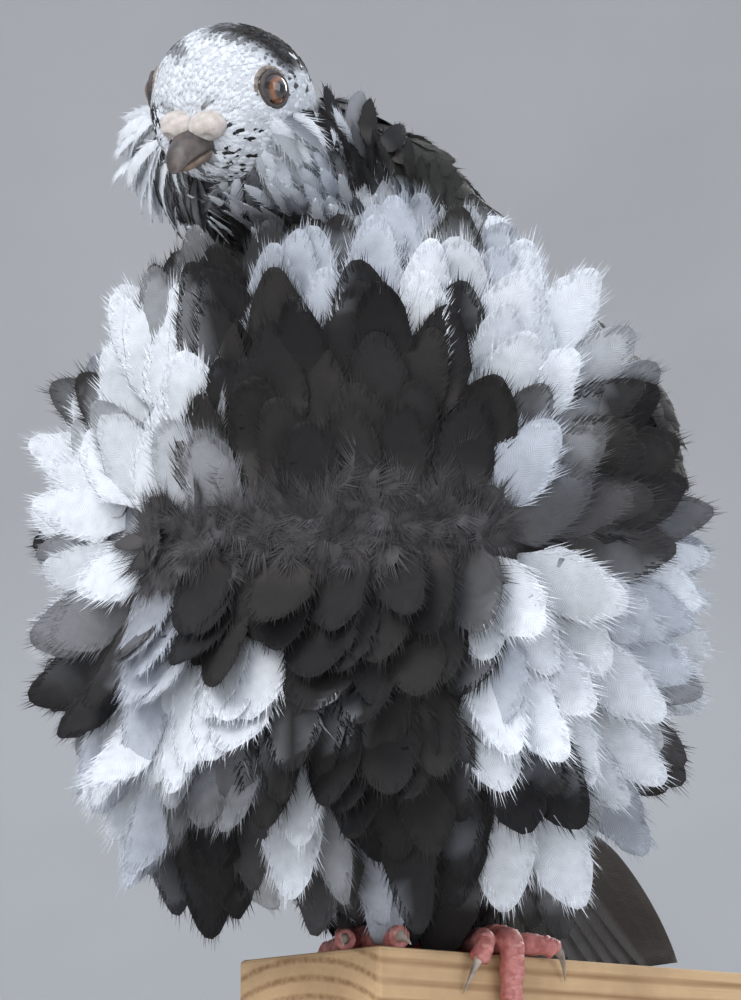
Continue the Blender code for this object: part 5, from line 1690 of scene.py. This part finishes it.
@dataclass
class Flight:
    """The wings' and the tail's long feathers."""

    wings: dict[Side, WingLine]
    skin: Skin
    draw: Draw
    material: Material
    tail_root: Size = (0.0, 0.046, 0.048)
    tail_tip: Size = (0.0, 0.114, 0.008)
    tail_pairs: int = 6
    steps: int = 22
    pale_edge: Pair = (0.0032, 0.0056)
    pale_tip: Pair = (0.80, 1.0)
    patch_of: Pair = (0.012, 0.07)

    def build(self) -> None:
        """Makes the wings' secondaries and primaries, and the tail."""
        for side in Side:
            self.piece(f"flight_feathers_{side.label}", "wing_plumage", self.wing(side))
        self.piece("tail_feathers", "tail_plumage", self.tail())

    def wing(self, side: Side) -> list[Quill]:
        """Secondaries over the wing's rear half, then primaries that run on to the tips."""
        quills = []
        rows = [(0.34 + 0.012 * k, 0.74 + 0.010 * k, -0.72 + 0.20 * k, 0.0112, 0.0006) for k in range(8)]
        for k in range(8):
            rows.append((0.50, 0.985 - 0.030 * (7 - k), -0.10 - 0.11 * k, 0.0104, -0.0007 - 0.0005 * k))
        for start, stop, place, width, height in rows:
            share = np.linspace(0, 1, self.steps)
            t = start + (stop - start) * share
            a = place * (1 - 0.45 * share)
            spot, along, face = self.wings[side].place(t, a, -0.0012 + (0.0012 + height) * share)
            shape = np.sin(math.pi * (0.14 + 0.80 * share)) ** 0.45 * (0.55 + 0.45 * smooth(share, 0, 0.35))
            quills.append(self.quill(spot, along, face, 0.5 * width * shape))
        return quills

    def tail(self) -> list[Quill]:
        """Twelve feathers, the middle pair on top."""
        start, tip = np.array(self.tail_root), np.array(self.tail_tip)
        axis, length = unit(tip - start), float(np.linalg.norm(tip - start))
        side = np.array([1.0, 0, 0])
        up = np.cross(side, axis)
        up = up if up[2] > 0 else -up
        quills = []
        for sign in (1, -1):
            for k in range(self.tail_pairs):
                share = np.linspace(0, 1, self.steps)
                level = -0.0008 * (k + 1 if k or sign < 0 else 0)
                place = 0.0030 if k == 0 else 0.0070 + 0.0019 * (k - 1)
                aim = unit(axis + side * sign * math.tan(math.radians(1.6) * k))
                run = length * (0.22 + 0.78 * share) - 0.0010 * k * share
                droop = 0.0025 * np.sin(math.pi * share)
                spot = start + aim * run[:, None] + side * (sign * place * (0.8 + 0.2 * share))[:, None]
                spot = spot + up * (level + droop)[:, None]
                shape = np.sin(math.pi * (0.16 + 0.76 * share)) ** 0.35
                shape = shape * (0.5 + 0.5 * smooth(share, 0, 0.4))
                along, face = np.broadcast_to(aim, spot.shape), np.broadcast_to(up, spot.shape)
                quills.append(self.quill(spot, along, face, 0.0066 * shape))
        return quills

    def quill(self, spot: Array, along: Array, face: Array, half: Array) -> Quill:
        """A feather in the part's frame, a little out of line."""
        roll = math.radians(3) * self.draw.normal()
        face = unit(face * math.cos(roll) + np.cross(along, face) * math.sin(roll))
        return Quill(*carried((spot, along, face), STANCE.bird), half)

    def piece(self, name: str, slot: str, quills: list[Quill]) -> None:
        """Joins feathers to one piece, with colours and the unwrap."""
        parts = []
        for quill in quills:
            place, triangles, vane = quill.shell()
            edge = smooth(np.abs(vane[:, 0]), *self.pale_edge)[:, None]
            tip = smooth(vane[:, 1] / vane[:, 1].max(), *self.pale_tip)[:, None]
            dark = np.array(BROWN.value) * self.draw.uniform(0.7, 1.5)
            tint = dark * (1 - 0.5 * edge) + np.array(GREY.value) * (0.45 * edge + 0.25 * tip)
            tint = tint * (1 + 0.15 * waves(place, 900, 12))[:, None]
            root = self.skin.unwrapped(quill.spots[:1])
            local = np.stack([vane[:, 0] / self.patch_of[0], vane[:, 1] / self.patch_of[1] - 0.5], -1)
            uv = np.clip(root + UV_PATCH * local.clip(-0.5, 0.5), 0, 1)
            parts.append(Down(place, triangles, tint, uv, vane, np.ones(len(triangles), bool)))
        handed(Down.joined(parts).piece(name, self.material, turn_out=True), slot)


class Scatter:
    """Copies of a shape at points, each with its own turn and size, by Geometry Nodes."""

    tree: bpy.types.GeometryNodeTree | None = None

    @classmethod
    def nodes(cls) -> bpy.types.GeometryNodeTree:
        """The node tree, built once: points in, realized copies out."""
        if cls.tree:
            return cls.tree
        tree = bpy.data.node_groups.new("copies_on_points", "GeometryNodeTree")
        for name, kind in (
            ("Points", "Geometry"),
            ("Shape", "Object"),
            ("Size spread", "Float"),
            ("Seed", "Int"),
            ("Finish", "Material"),
        ):
            tree.interface.new_socket(name, in_out="INPUT", socket_type=f"NodeSocket{kind}")
        tree.interface.new_socket("Pieces", in_out="OUTPUT", socket_type="NodeSocketGeometry")
        link = tree.links.new

        def add(kind: str, settings: dict | None = None, **sockets: object) -> bpy.types.Node:
            """Adds a node with settings, and with links or values on its sockets."""
            node = tree.nodes.new(kind)
            for key, value in (settings or {}).items():
                setattr(node, key, value)
            for key, value in sockets.items():
                if isinstance(value, Socket):
                    link(value, node.inputs[key])
                else:
                    node.inputs[key].default_value = value
            return node

        given = add("NodeGroupInput").outputs
        spots = add("GeometryNodeMeshToPoints", Mesh=given["Points"]).outputs["Points"]
        values = {}
        for name in ("turn", "size"):
            node = add("GeometryNodeInputNamedAttribute", {"data_type": "FLOAT_VECTOR"}, Name=name)
            values[name] = node.outputs["Attribute"]
        chance = add("FunctionNodeRandomValue", {"data_type": "FLOAT"}, Seed=given["Seed"])
        for operation, end in (("SUBTRACT", "Min"), ("ADD", "Max")):
            bound = add("ShaderNodeMath", {"operation": operation})
            bound.inputs[0].default_value = 1.0
            link(given["Size spread"], bound.inputs[1])
            link(bound.outputs[0], next(s for s in chance.inputs if s.name == end and s.type == "VALUE"))
        drawn = next(s for s in chance.outputs if s.type == "VALUE")
        grown = add("ShaderNodeVectorMath", {"operation": "SCALE"}, Scale=drawn)
        link(values["size"], grown.inputs[0])
        shape = add("GeometryNodeObjectInfo", Object=given["Shape"]).outputs["Geometry"]
        rotation = add("FunctionNodeEulerToRotation", Euler=values["turn"]).outputs[0]
        copies = add(
            "GeometryNodeInstanceOnPoints",
            Points=spots,
            Instance=shape,
            Rotation=rotation,
            Scale=grown.outputs[0],
        ).outputs["Instances"]
        real = add("GeometryNodeRealizeInstances", Geometry=copies).outputs["Geometry"]
        dressed = add("GeometryNodeSetMaterial", Geometry=real, Material=given["Finish"])
        add("NodeGroupOutput", Pieces=dressed.outputs["Geometry"])
        cls.tree = tree
        return tree

    @classmethod
    def build(
        cls,
        name: str,
        frames: Sequence[Matrix],
        sizes: Sequence[Size],
        material: Material,
        differ: float = 0.12,
    ) -> Object:
        """Makes the copies of a low dome, one for each frame.

        Args:
            name: the piece's name.
            frames: where each copy is and how it is turned.
            sizes: each copy's half sizes in metres.
            material: what it is made of.
            differ: how much sizes differ.

        Returns:
            The joined copies as a plain mesh.
        """
        mesh = bpy.data.meshes.new(name)
        mesh.from_pydata([frame.translation for frame in frames], [], [])
        store(mesh, "turn", "FLOAT_VECTOR", [tuple(frame.to_euler()) for frame in frames])
        store(mesh, "size", "FLOAT_VECTOR", list(sizes))
        obj = linked(name, mesh)
        dome = cls.dome()
        modifier = obj.modifiers.new("copies", "NODES")
        modifier.node_group = cls.nodes()
        wanted = {"Shape": dome, "Size spread": differ, "Seed": SEED, "Finish": material}
        for item in modifier.node_group.interface.items_tree:
            if item.in_out == "INPUT" and item.name in wanted:
                modifier[item.identifier] = wanted[item.name]
        baked(obj)
        bpy.data.objects.remove(dome)
        obj.data.shade_smooth()
        return obj

    @staticmethod
    def dome() -> Object:
        """A small rounded plate, closed, one unit each way."""
        shape = bmesh.new()
        bmesh.ops.create_uvsphere(shape, u_segments=10, v_segments=6, radius=1.0)
        mesh = bpy.data.meshes.new("plate")
        shape.to_mesh(mesh)
        shape.free()
        return linked("plate", mesh)


def aimed(way: Vector) -> Matrix:
    """A turn that brings Z to look a way."""
    return Vector((0, 0, 1)).rotation_difference(way).to_matrix().to_4x4()


def mirrored(place: Size, side: Side) -> Size:
    """A place that is given for the bird's left, on a side of it."""
    return side.value * place[0], place[1], place[2]


def ball(
    centre: Sequence[float], radii: Sequence[float], turn: Matrix, around: int = 36, rows: int = 22
) -> Shell:
    """An ellipsoid's points and faces."""
    tilt = np.linspace(-0.497 * math.pi, 0.497 * math.pi, rows)
    angle = np.linspace(0, 2 * math.pi, around, endpoint=False)
    a, b = np.meshgrid(angle, tilt)
    points = np.stack([np.cos(a) * np.cos(b), np.sin(a) * np.cos(b), np.sin(b)], -1).reshape(-1, 3)
    points = points * np.array(radii) @ np.array(turn.to_3x3()).T + np.array(centre)
    return points, tube_faces(around, rows)


def rings_shell(rings: Array) -> Shell:
    """A closed tube through rings of shape (rows, around, 3)."""
    return rings.reshape(-1, 3), tube_faces(rings.shape[1], rings.shape[0])


@dataclass(frozen=True)
class BeakHalf:
    """One half of the beak: the way it bulges, its shares of length and width, its height and hook."""

    node: str
    sign: int
    length: float
    width: float
    height: float
    hook: float
    slot: str
    look: BareFinish


@dataclass
class Face:
    """Eyes, lids, cere and beak, in the head's frame."""

    bare = 0.0040
    eye_at = (0.0103, -0.0060, 0.0036)
    bulb_at = (0.0028, -0.0146, -0.0012)
    eye_lean = (-0.18, 0.05)
    lid_lean = (-0.36, 0.12)
    bulb_radii = (0.0038, 0.0036, 0.0027)
    bulb_share = 0.74
    beak_front = -0.0112
    gape_half = 0.0042
    gape = (-0.0088, -0.0030)
    eye_radius: float = 0.0039
    gaze_scale: float = 2.6
    lid_rings: tuple = (
        ("lid_rim", 0.0024, 0.00310, 0.00055, 0.9),
        ("eye_ring", 0.0014, 0.00385, 0.00060, 0.92),
    )
    bead_rings: tuple = ((0.00360, 26, 0.0), (0.00393, 28, 0.0), (0.00422, 30, 0.5))
    bead_rise: float = 0.00056
    bead: Size = (0.00018, 0.00030, 0.00012)
    nostril: Size = (0.0040, -0.0176, -0.0031)
    nostril_shape: Size = (1.6, 0.7, 2.2)
    nostril_width: float = 0.0013
    nostril_depth: float = 0.0010
    beak_root: float = 0.0100
    beak_length: float = 0.0135
    beak_up: float = -0.0050
    beak_half_width: float = 0.0044
    beak_drop: float = 0.0028
    beak_gap: float = 0.00012
    beak_halves: tuple = (
        BeakHalf("beak_upper", 1, 1.0, 1.0, 0.0044, 0.0010, "beak_horn_dark", UPPER_HORN),
        BeakHalf("beak_lower", -1, 0.86, 0.88, 0.0030, 0.0, "beak_horn_pale", LOWER_HORN),
    )
    ring_look: BareFinish = EYE_RING_SKIN
    rim_look: BareFinish = LID_RIM
    cere_look: BareFinish = CERE_POWDER

    @classmethod
    def bare_at(cls, local: Array) -> Array:
        """Which places of the head, in its frame, the eyes, the cere and the beak keep bare."""
        bare = np.zeros(len(local), bool)
        for side in Side:
            bare |= np.linalg.norm(local - np.array(mirrored(cls.eye_at, side)), axis=1) <= cls.bare
            away = (local - np.array(mirrored(cls.bulb_at, side))) / np.array(cls.bulb_radii)
            bare |= np.linalg.norm(away, axis=1) <= cls.bulb_share
        x, y, z = local.T
        low, high = cls.gape
        return bare | ((y < cls.beak_front) & (np.abs(x) < cls.gape_half) & (z > low) & (z < high))

    def build(self) -> None:
        """Makes every piece of the face."""
        self.eyes()
        self.lids()
        self.cere()
        self.beak()

    @staticmethod
    def placed(shell: Shell) -> Shell:
        """A shell of the head's frame, in the part's frame."""
        return moved(shell[0], STANCE.head), shell[1]

    def eyes(self) -> None:
        """Glossy eyeballs with a slightly raised cornea."""
        material = EyeFinish().build()
        for side in Side:
            turn = aimed(Vector((side.value, *self.eye_lean)).normalized())
            points, faces = ball((0, 0, 0), (1, 1, 1), Matrix.Identity(4), 72, 60)
            away = np.arccos(np.clip(points[:, 2], -1, 1)) / math.pi
            swell = 1 + 0.035 * smooth(-away, -0.24, -0.02)
            points = points * (self.eye_radius * swell)[:, None]
            points = turned(points, turn) + np.array(mirrored(self.eye_at, side))
            obj = solid(f"eyeball_{side.label}", [self.placed((points, faces))], material)
            store(obj.data, GAZE, "FLOAT", away * self.gaze_scale)
            handed(obj, "eye_gloss", f"eye_{side.label}")

    def lids(self) -> None:
        """A dark inner rim, the bare ring about it and its beads."""
        materials = {"eye_ring": self.ring_look.build(), "lid_rim": self.rim_look.build()}
        for side in Side:
            gaze = Vector((side.value, *self.lid_lean)).normalized()
            turn, centre = aimed(gaze), Vector(mirrored(self.eye_at, side))
            for name, out, radius, tube, flat in self.lid_rings:
                place = Matrix.Translation(centre + gaze * out) @ turn
                ring = self.placed(self.torus(place, radius, tube, flat))
                handed(solid(f"{name}_{side.label}", [ring], materials[name]), "head_plumage")
            frames = []
            _, out, middle, tube, flat = self.lid_rings[-1]
            for radius, count, shift in self.bead_rings:
                depth = out + self.bead_rise * math.cos((radius - middle) / tube * 1.3)
                for k in range(count):
                    angle = 2 * math.pi * (k + shift) / count
                    local = Vector((radius * math.cos(angle), flat * radius * math.sin(angle), depth))
                    spot = centre + turn.to_3x3() @ local
                    frame_of = STANCE.head @ Matrix.Translation(spot) @ turn
                    frames.append(frame_of @ Matrix.Rotation(angle, 4, "Z"))
            name, sizes = f"eye_beads_{side.label}", [self.bead] * len(frames)
            handed(Scatter.build(name, frames, sizes, materials["eye_ring"], 0.3), "head_plumage")

    @staticmethod
    def torus(place: Matrix, radius: float, tube: float, flat: float) -> Shell:
        """A ring about a frame's Z, a little narrower up and down."""
        long, thin = 48, 14
        turns = (np.arange(count) / count * 2 * math.pi for count in (long, thin))
        a, b = np.meshgrid(*turns, indexing="ij")
        away = radius + tube * np.cos(b) * (1 + 0.06 * np.sin(9 * a))
        points = np.stack([away * np.cos(a), flat * away * np.sin(a), tube * np.sin(b)], -1).reshape(-1, 3)
        return moved(points, place), (ring_quads(long + 1, thin) % (long * thin)).tolist()

    def cere(self) -> None:
        """The two powdered bulbs over the nostrils, wrinkled and joined in the middle."""
        shells = []
        for side in Side:
            s = side.value
            centre = Vector(mirrored(self.bulb_at, side))
            turn = Matrix.Rotation(math.radians(28), 4, "X") @ Matrix.Rotation(s * math.radians(14), 4, "Z")
            points, faces = ball(centre, self.bulb_radii, turn, 48, 32)
            rough = 0.00003 * waves(points, 3400, 31 + s) + 0.00010 * waves(points, 900, 33 + s)
            points = points + unit(points - np.array(centre)) * rough[:, None]
            slit = np.array(mirrored(self.nostril, side))
            away = np.linalg.norm((points - slit) * self.nostril_shape, axis=1) / self.nostril_width
            sunk = self.nostril_depth * np.exp(-(away**2))
            points = points - unit(points - np.array(centre)) * sunk[:, None]
            shells.append(self.placed((points, faces)))
        handed(solid("cere_bulbs", shells, self.cere_look.build()), "cere_skin", "cere")

    def beak(self) -> None:
        """The short thick beak, its upper half hooked over the lower."""
        t, angle = np.linspace(0, 0.995, 26), np.linspace(0, math.pi, 19)
        taper, blunt = np.sqrt(np.maximum(1 - t**1.7, 0.0)), 1 - t**8
        for part in self.beak_halves:
            half = self.beak_half_width * (0.25 * blunt + 0.75 * taper) * part.width
            tall = part.height * (0.3 * blunt + 0.7 * taper)
            hook = part.hook * smooth(t, 0.82, 1.0)
            seam = self.beak_up - self.beak_drop * t**2 + part.sign * self.beak_gap - hook
            x = half[:, None] * np.cos(angle)
            z = seam[:, None] + part.sign * tall[:, None] * np.sin(angle) ** 0.9
            reach = self.beak_root + self.beak_length * part.length * t
            y = np.broadcast_to(-reach[:, None], x.shape)
            shell = self.placed(rings_shell(np.stack([x, y, z], -1)))
            horn = part.look.build()
            handed(solid(f"{part.node}_horn", [shell], horn), part.slot, part.node)


@dataclass
class Feet:
    """The toes on the timber, their scutes and claws, in the timber's frame."""

    pads: dict = field(
        default_factory=lambda: {Side.LEFT: (-0.0455, 0.0080), Side.RIGHT: (-0.0610, 0.0240)}
    )
    toes: tuple = (
        ("middle", 0.0200, 0.0028),
        ("outer", 0.0150, 0.0025),
        ("inner", 0.0150, 0.0025),
        ("hind", 0.0090, 0.0023),
    )
    headings: dict = field(
        default_factory=lambda: {
            Side.LEFT: {"middle": -91, "outer": -42, "inner": -122, "hind": 96},
            Side.RIGHT: {"middle": -105, "outer": -135, "inner": -68, "hind": 84},
        }
    )
    pad_radius: float = 0.0034
    shank: float = 0.0021
    claw_length: float = 0.0060
    taper: float = 0.28
    swell: float = 0.00014
    scute_pitch: float = 0.0017
    voxel: float = 0.00028

    def build(self) -> None:
        """Makes both feet."""
        materials = FOOT_SKIN.build(), FOOT_SCUTES.build(), CLAW_HORN.build()
        for side in Side:
            self.foot(side, *materials)

    def over_edge(self, along: float, back: float, radius: float) -> tuple[Vector, Vector]:
        """A place off the timber's top, front edge or front, and the way out of the timber there."""
        off, half = radius + STANCE.gap, STANCE.beam_side / 2
        if back >= 0:
            return Vector((along, back - half, off)), Vector((0, 0, 1))
        bend = -back / off
        if bend <= math.pi / 2:
            out = Vector((0, -math.sin(bend), math.cos(bend)))
            return Vector((along, -half, 0)) + out * off, out
        return Vector((along, -half - off, back + off * math.pi / 2)), Vector((0, -1, 0))

    def spot(self, side: Side, toe: str, reach: float, radius: float) -> tuple[Vector, Vector, Vector]:
        """Centre, way ahead and way out of a toe at a distance from its pad."""
        heading = math.radians(self.headings[side][toe])
        along, back = self.pads[side]
        turn = (math.cos(heading), math.sin(heading))
        here, out = self.over_edge(along + reach * turn[0], back + reach * turn[1], radius)
        there, _ = self.over_edge(along + (reach + 3e-4) * turn[0], back + (reach + 3e-4) * turn[1], radius)
        ahead = (there - here).normalized()
        return here, ahead, (out - ahead * out.dot(ahead)).normalized()

    def ring(
        self, side: Side, toe: str, reach: float, radius: float, off: float, flat: float = 1.0
    ) -> Array:
        """A ring of points about a toe's or a claw's line."""
        here, ahead, out = self.spot(side, toe, reach, off)
        across = ahead.cross(out)
        angle = np.linspace(0, 2 * math.pi, 20, endpoint=False)
        points = np.outer(np.cos(angle) * flat, across) + np.outer(np.sin(angle), out)
        return np.array(here) + points * radius

    def foot(
        self, side: Side, skin: Material, scute: Material, horn: Material
    ) -> None:
        """One foot: toes, pad and shank in one skin, with its scutes and claws."""
        shells = [*self.toe_shells(side), self.shank_shell(side)]
        obj = solid(f"foot_skin_{side.label}", [self.placed(shell) for shell in shells], skin)
        handed(melted(obj, self.voxel, 4), "foot_skin", f"foot_{side.label}")
        frames, sizes = self.scutes(side)
        handed(Scatter.build(f"foot_scutes_{side.label}", frames, sizes, scute, 0.06), "foot_skin")
        for toe, length, thick in self.toes:
            rows = []
            for t in np.linspace(0, 0.985, 16):
                radius = 0.60 * thick * (1 - 0.93 * t**0.9)
                off = 0.72 * thick * (1 - t) + 0.0003 + 0.0006 * math.sin(math.pi * t)
                rows.append(self.ring(side, toe, length - 0.0014 + self.claw_length * t, radius, off, 0.8))
            shell = self.placed(rings_shell(np.array(rows)))
            claw = solid(f"claw_horn_{side.label}_{toe}", [shell], horn)
            handed(claw, "claw_horn", f"claw_{side.label}_{toe}")

    @staticmethod
    def placed(shell: Shell) -> Shell:
        """A shell of the timber's frame, in the part's frame."""
        return moved(shell[0], STANCE.beam), shell[1]

    def centre(self, side: Side) -> Vector:
        """The middle of a foot's pad."""
        along, back = self.pads[side]
        return Vector((along, back - STANCE.beam_side / 2, self.pad_radius + STANCE.gap + 0.0002))

    def toe_shells(self, side: Side) -> list[Shell]:
        """The pad, and the toes with a swelling at every joint."""
        shells = [ball(self.centre(side), [self.pad_radius] * 3, Matrix.Identity(4))]
        for toe, length, thick in self.toes:
            rows = []
            joints = 4 if toe == "middle" else 3
            for t in np.linspace(0, 1, 30):
                swell = self.swell * math.cos(2 * math.pi * joints * t)
                slim = thick * (1 - self.taper * t)
                rows.append(self.ring(side, toe, length * t, slim + swell, slim))
            shells.append(rings_shell(np.array(rows)))
        return shells

    def shank_shell(self, side: Side) -> Shell:
        """The bare leg, from the thigh's end to the pad."""
        centre = self.centre(side)
        ankle = STANCE.beam.inverted() @ STANCE.bird @ Vector(Legs.ends[side])
        axis = (centre - ankle).normalized()
        stations = (
            (0.0, tuple(ankle - axis * 0.004), self.shank * 0.95),
            (0.5, tuple(ankle.lerp(centre, 0.4)), self.shank),
            (1.0, tuple(centre), self.pad_radius * 0.8),
        )
        return Tube(stations=stations, matrix=Matrix.Identity(4)).shell(20, 14, 0.0)

    def scutes(self, side: Side) -> tuple[list[Matrix], list[Size]]:
        """Where the scutes on top of the toes are, and their half sizes."""
        frames, sizes = [], []
        for toe, length, thick in self.toes:
            count = round(length / self.scute_pitch)
            for k in range(count):
                t = (k + 0.8) / count
                radius = thick * (1 - self.taper * t)
                here, ahead, out = self.spot(side, toe, length * t, radius)
                turn = Matrix((ahead.cross(out), ahead, out)).transposed().to_4x4()
                place = STANCE.beam @ Matrix.Translation(here + out * radius * 0.40) @ turn
                frames.append(place @ Matrix.Rotation(math.radians(7), 4, "X"))
                sizes.append((radius * 0.80, length / count * 0.60, radius * 0.70))
        return frames, sizes


@dataclass
class Stand:
    """The display stand and the timber: the part's own solids with their finishes."""

    nodes: dict

    def dress(self) -> None:
        """Gives the solids their materials."""
        wood = TimberFinish("stand_dark_wood", (0.20, 0.115, 0.070), (0.085, 0.045, 0.028), ring=240.0)
        timber, base, steel = TimberFinish("timber_sawn").build(), wood.build(), SteelFinish().build()
        for name, material in (
            ("perch_beam", timber),
            ("stand_base", base),
            ("stand_rod_1", steel),
            ("stand_rod_2", steel),
        ):
            mesh = self.nodes[name].data
            mesh.materials.clear()
            mesh.materials.append(material)
            LOG.info("%s dressed", name)


# Name, place, size, power and colour of each soft lamp
LAMPS = (
    ("key", (-0.75, -0.95, 1.05), 0.7, 15.0, (1.0, 0.98, 0.95)),
    ("fill", (0.95, -0.75, 0.45), 0.9, 6.0, (0.90, 0.95, 1.0)),
    ("rear", (0.45, 0.95, 0.85), 0.6, 9.0, (1.0, 0.97, 0.92)),
    ("low", (-0.36, -1.25, 0.30), 0.5, 4.6, (0.95, 0.97, 1.0)),
)


@dataclass
class Studio:
    """Pale bowl of a floor, soft lamps and the camera at the photo's place."""

    floor_radius: float = 2.2
    rim: float = 1.6
    wall: float = 2.3
    target: Size = (-0.03, -0.03, 0.17)
    sky: Rgb = (0.80, 0.87, 1.0)
    sky_strength: float = 1.1
    lens: float = 133.56

    def build(self) -> None:
        """Makes the surroundings, the lamps and the camera."""
        self.floor()
        self.lamps()
        self.camera()

    def floor(self) -> None:
        """A round floor that turns up into a wall on every side."""
        profile = [(r, 0.0) for r in np.linspace(0.02, self.floor_radius, 12)]
        for angle in np.linspace(0, 0.5 * math.pi, 14)[1:]:
            reach = self.floor_radius + self.rim * math.sin(angle)
            profile.append((reach, self.rim * (1 - math.cos(angle))))
        profile.append((self.floor_radius + self.rim, self.wall))
        turn = np.linspace(0, 2 * math.pi, 96, endpoint=False)
        rows = [[(r * math.cos(a), r * math.sin(a), z) for a in turn] for r, z in profile]
        points = [point for row in rows for point in row]
        faces = [f for f in tube_faces(96, len(rows)) if len(f) == 4] + [tuple(range(96))]
        mesh = bpy.data.meshes.new("floor")
        mesh.from_pydata(points, [], faces)
        mesh.shade_smooth()
        finish = Finish("floor_pale")
        cloud = finish.noise(2.5, detail=3.0)
        tones = (0.3, (0.50, 0.49, 0.475)), (0.7, (0.56, 0.55, 0.535))
        finish.give("Base Color", finish.ramp(cloud, tones))
        finish.give("Roughness", finish.mapped(cloud, 0.7, 0.9))
        mesh.materials.append(finish.material)
        linked("floor", mesh)

    def lamps(self) -> None:
        """Large soft lamps and a pale world."""
        world = bpy.data.worlds.new("soft_light")
        world.use_nodes = True
        ground = world.node_tree.nodes["Background"]
        ground.inputs[0].default_value = (*self.sky, 1.0)
        ground.inputs[1].default_value = self.sky_strength
        bpy.context.scene.world = world
        for name, place, size, power, colour in LAMPS:
            lamp = bpy.data.lights.new(name, "AREA")
            lamp.size, lamp.energy, lamp.color = size, power, colour
            obj = bpy.data.objects.new(name, lamp)
            obj.location = place
            aim = Vector(self.target) - Vector(place)
            obj.rotation_euler = aim.to_track_quat("-Z", "Y").to_euler()
            bpy.context.scene.collection.objects.link(obj)

    def camera(self) -> None:
        """The photo's view: from low in front, looking up."""
        lens = bpy.data.cameras.new("photo_view")
        lens.sensor_fit, lens.sensor_width, lens.lens = "AUTO", 36.0, self.lens
        lens.clip_start = 0.02
        obj = bpy.data.objects.new("photo_view", lens)
        obj.location = PLUMAGE.eye
        obj.rotation_euler = (math.pi / 2 + PLUMAGE.tilt, 0, 0)
        bpy.context.scene.collection.objects.link(obj)
        bpy.context.scene.camera = obj
        bpy.context.scene.view_settings.view_transform = "Standard"


NECK_STATIONS = (
    (0.000, (0.005, 0.012, 0.110), 0.031),
    (0.350, (0.000, -0.004, 0.129), 0.026),
    (0.700, (-0.005, -0.020, 0.140), 0.019),
    (1.000, (-0.010, -0.032, 0.147), 0.012),
)
RUMP_STATIONS = (
    (0.00, (0.0, 0.0440, 0.0492), 0.0120),
    (0.15, (0.0, 0.0562, 0.0420), 0.0112),
    (0.30, (0.0, 0.0664, 0.0360), 0.0080),
    (0.40, (0.0, 0.0732, 0.0320), 0.0040),
)


def main() -> None:
    """Builds the looks in order and reports each piece."""
    logging.basicConfig(level=logging.INFO, format="%(name)s: %(message)s")
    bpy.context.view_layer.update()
    draw = np.random.default_rng(SEED)
    torso, head = Torso(), HeadForm()
    neck = Tube(stations=NECK_STATIONS)
    rump = Tube(stations=RUMP_STATIONS, guide=(1.0, 0.0, 0.0), high=(1.5 * math.pi, 0.40))
    wings = {side: WingLine(side, torso) for side in Side}
    shells = [torso.shell(60, 40, SKIN_INSET), neck.shell(36, 16, SKIN_INSET), head.shell(48, 36, 0.0001)]
    shells += [wing.shell(-0.0006) for wing in wings.values()]
    shells += [rump.shell(24, 10, 0.0)] + [Legs.tube(side).shell(20, 8, SKIN_INSET) for side in Side]
    skin = Skin(shells)
    fleshy = ("head", "neck", "torso", "leg_left", "leg_right", "wing_left", "wing_right", "tail")
    handed(skin.obj, "torso_plumage", *fleshy)
    Coat(torso, neck, head, rump, wings, skin, draw, FeatherFinish("plumage").build()).build()
    Flight(wings, skin, draw, VaneFinish("flight_vanes").build()).build()
    Face().build()
    Feet().build()
    Stand(frame["nodes"]).dress()
    Studio().build()


if __name__ == "__main__":
    main()
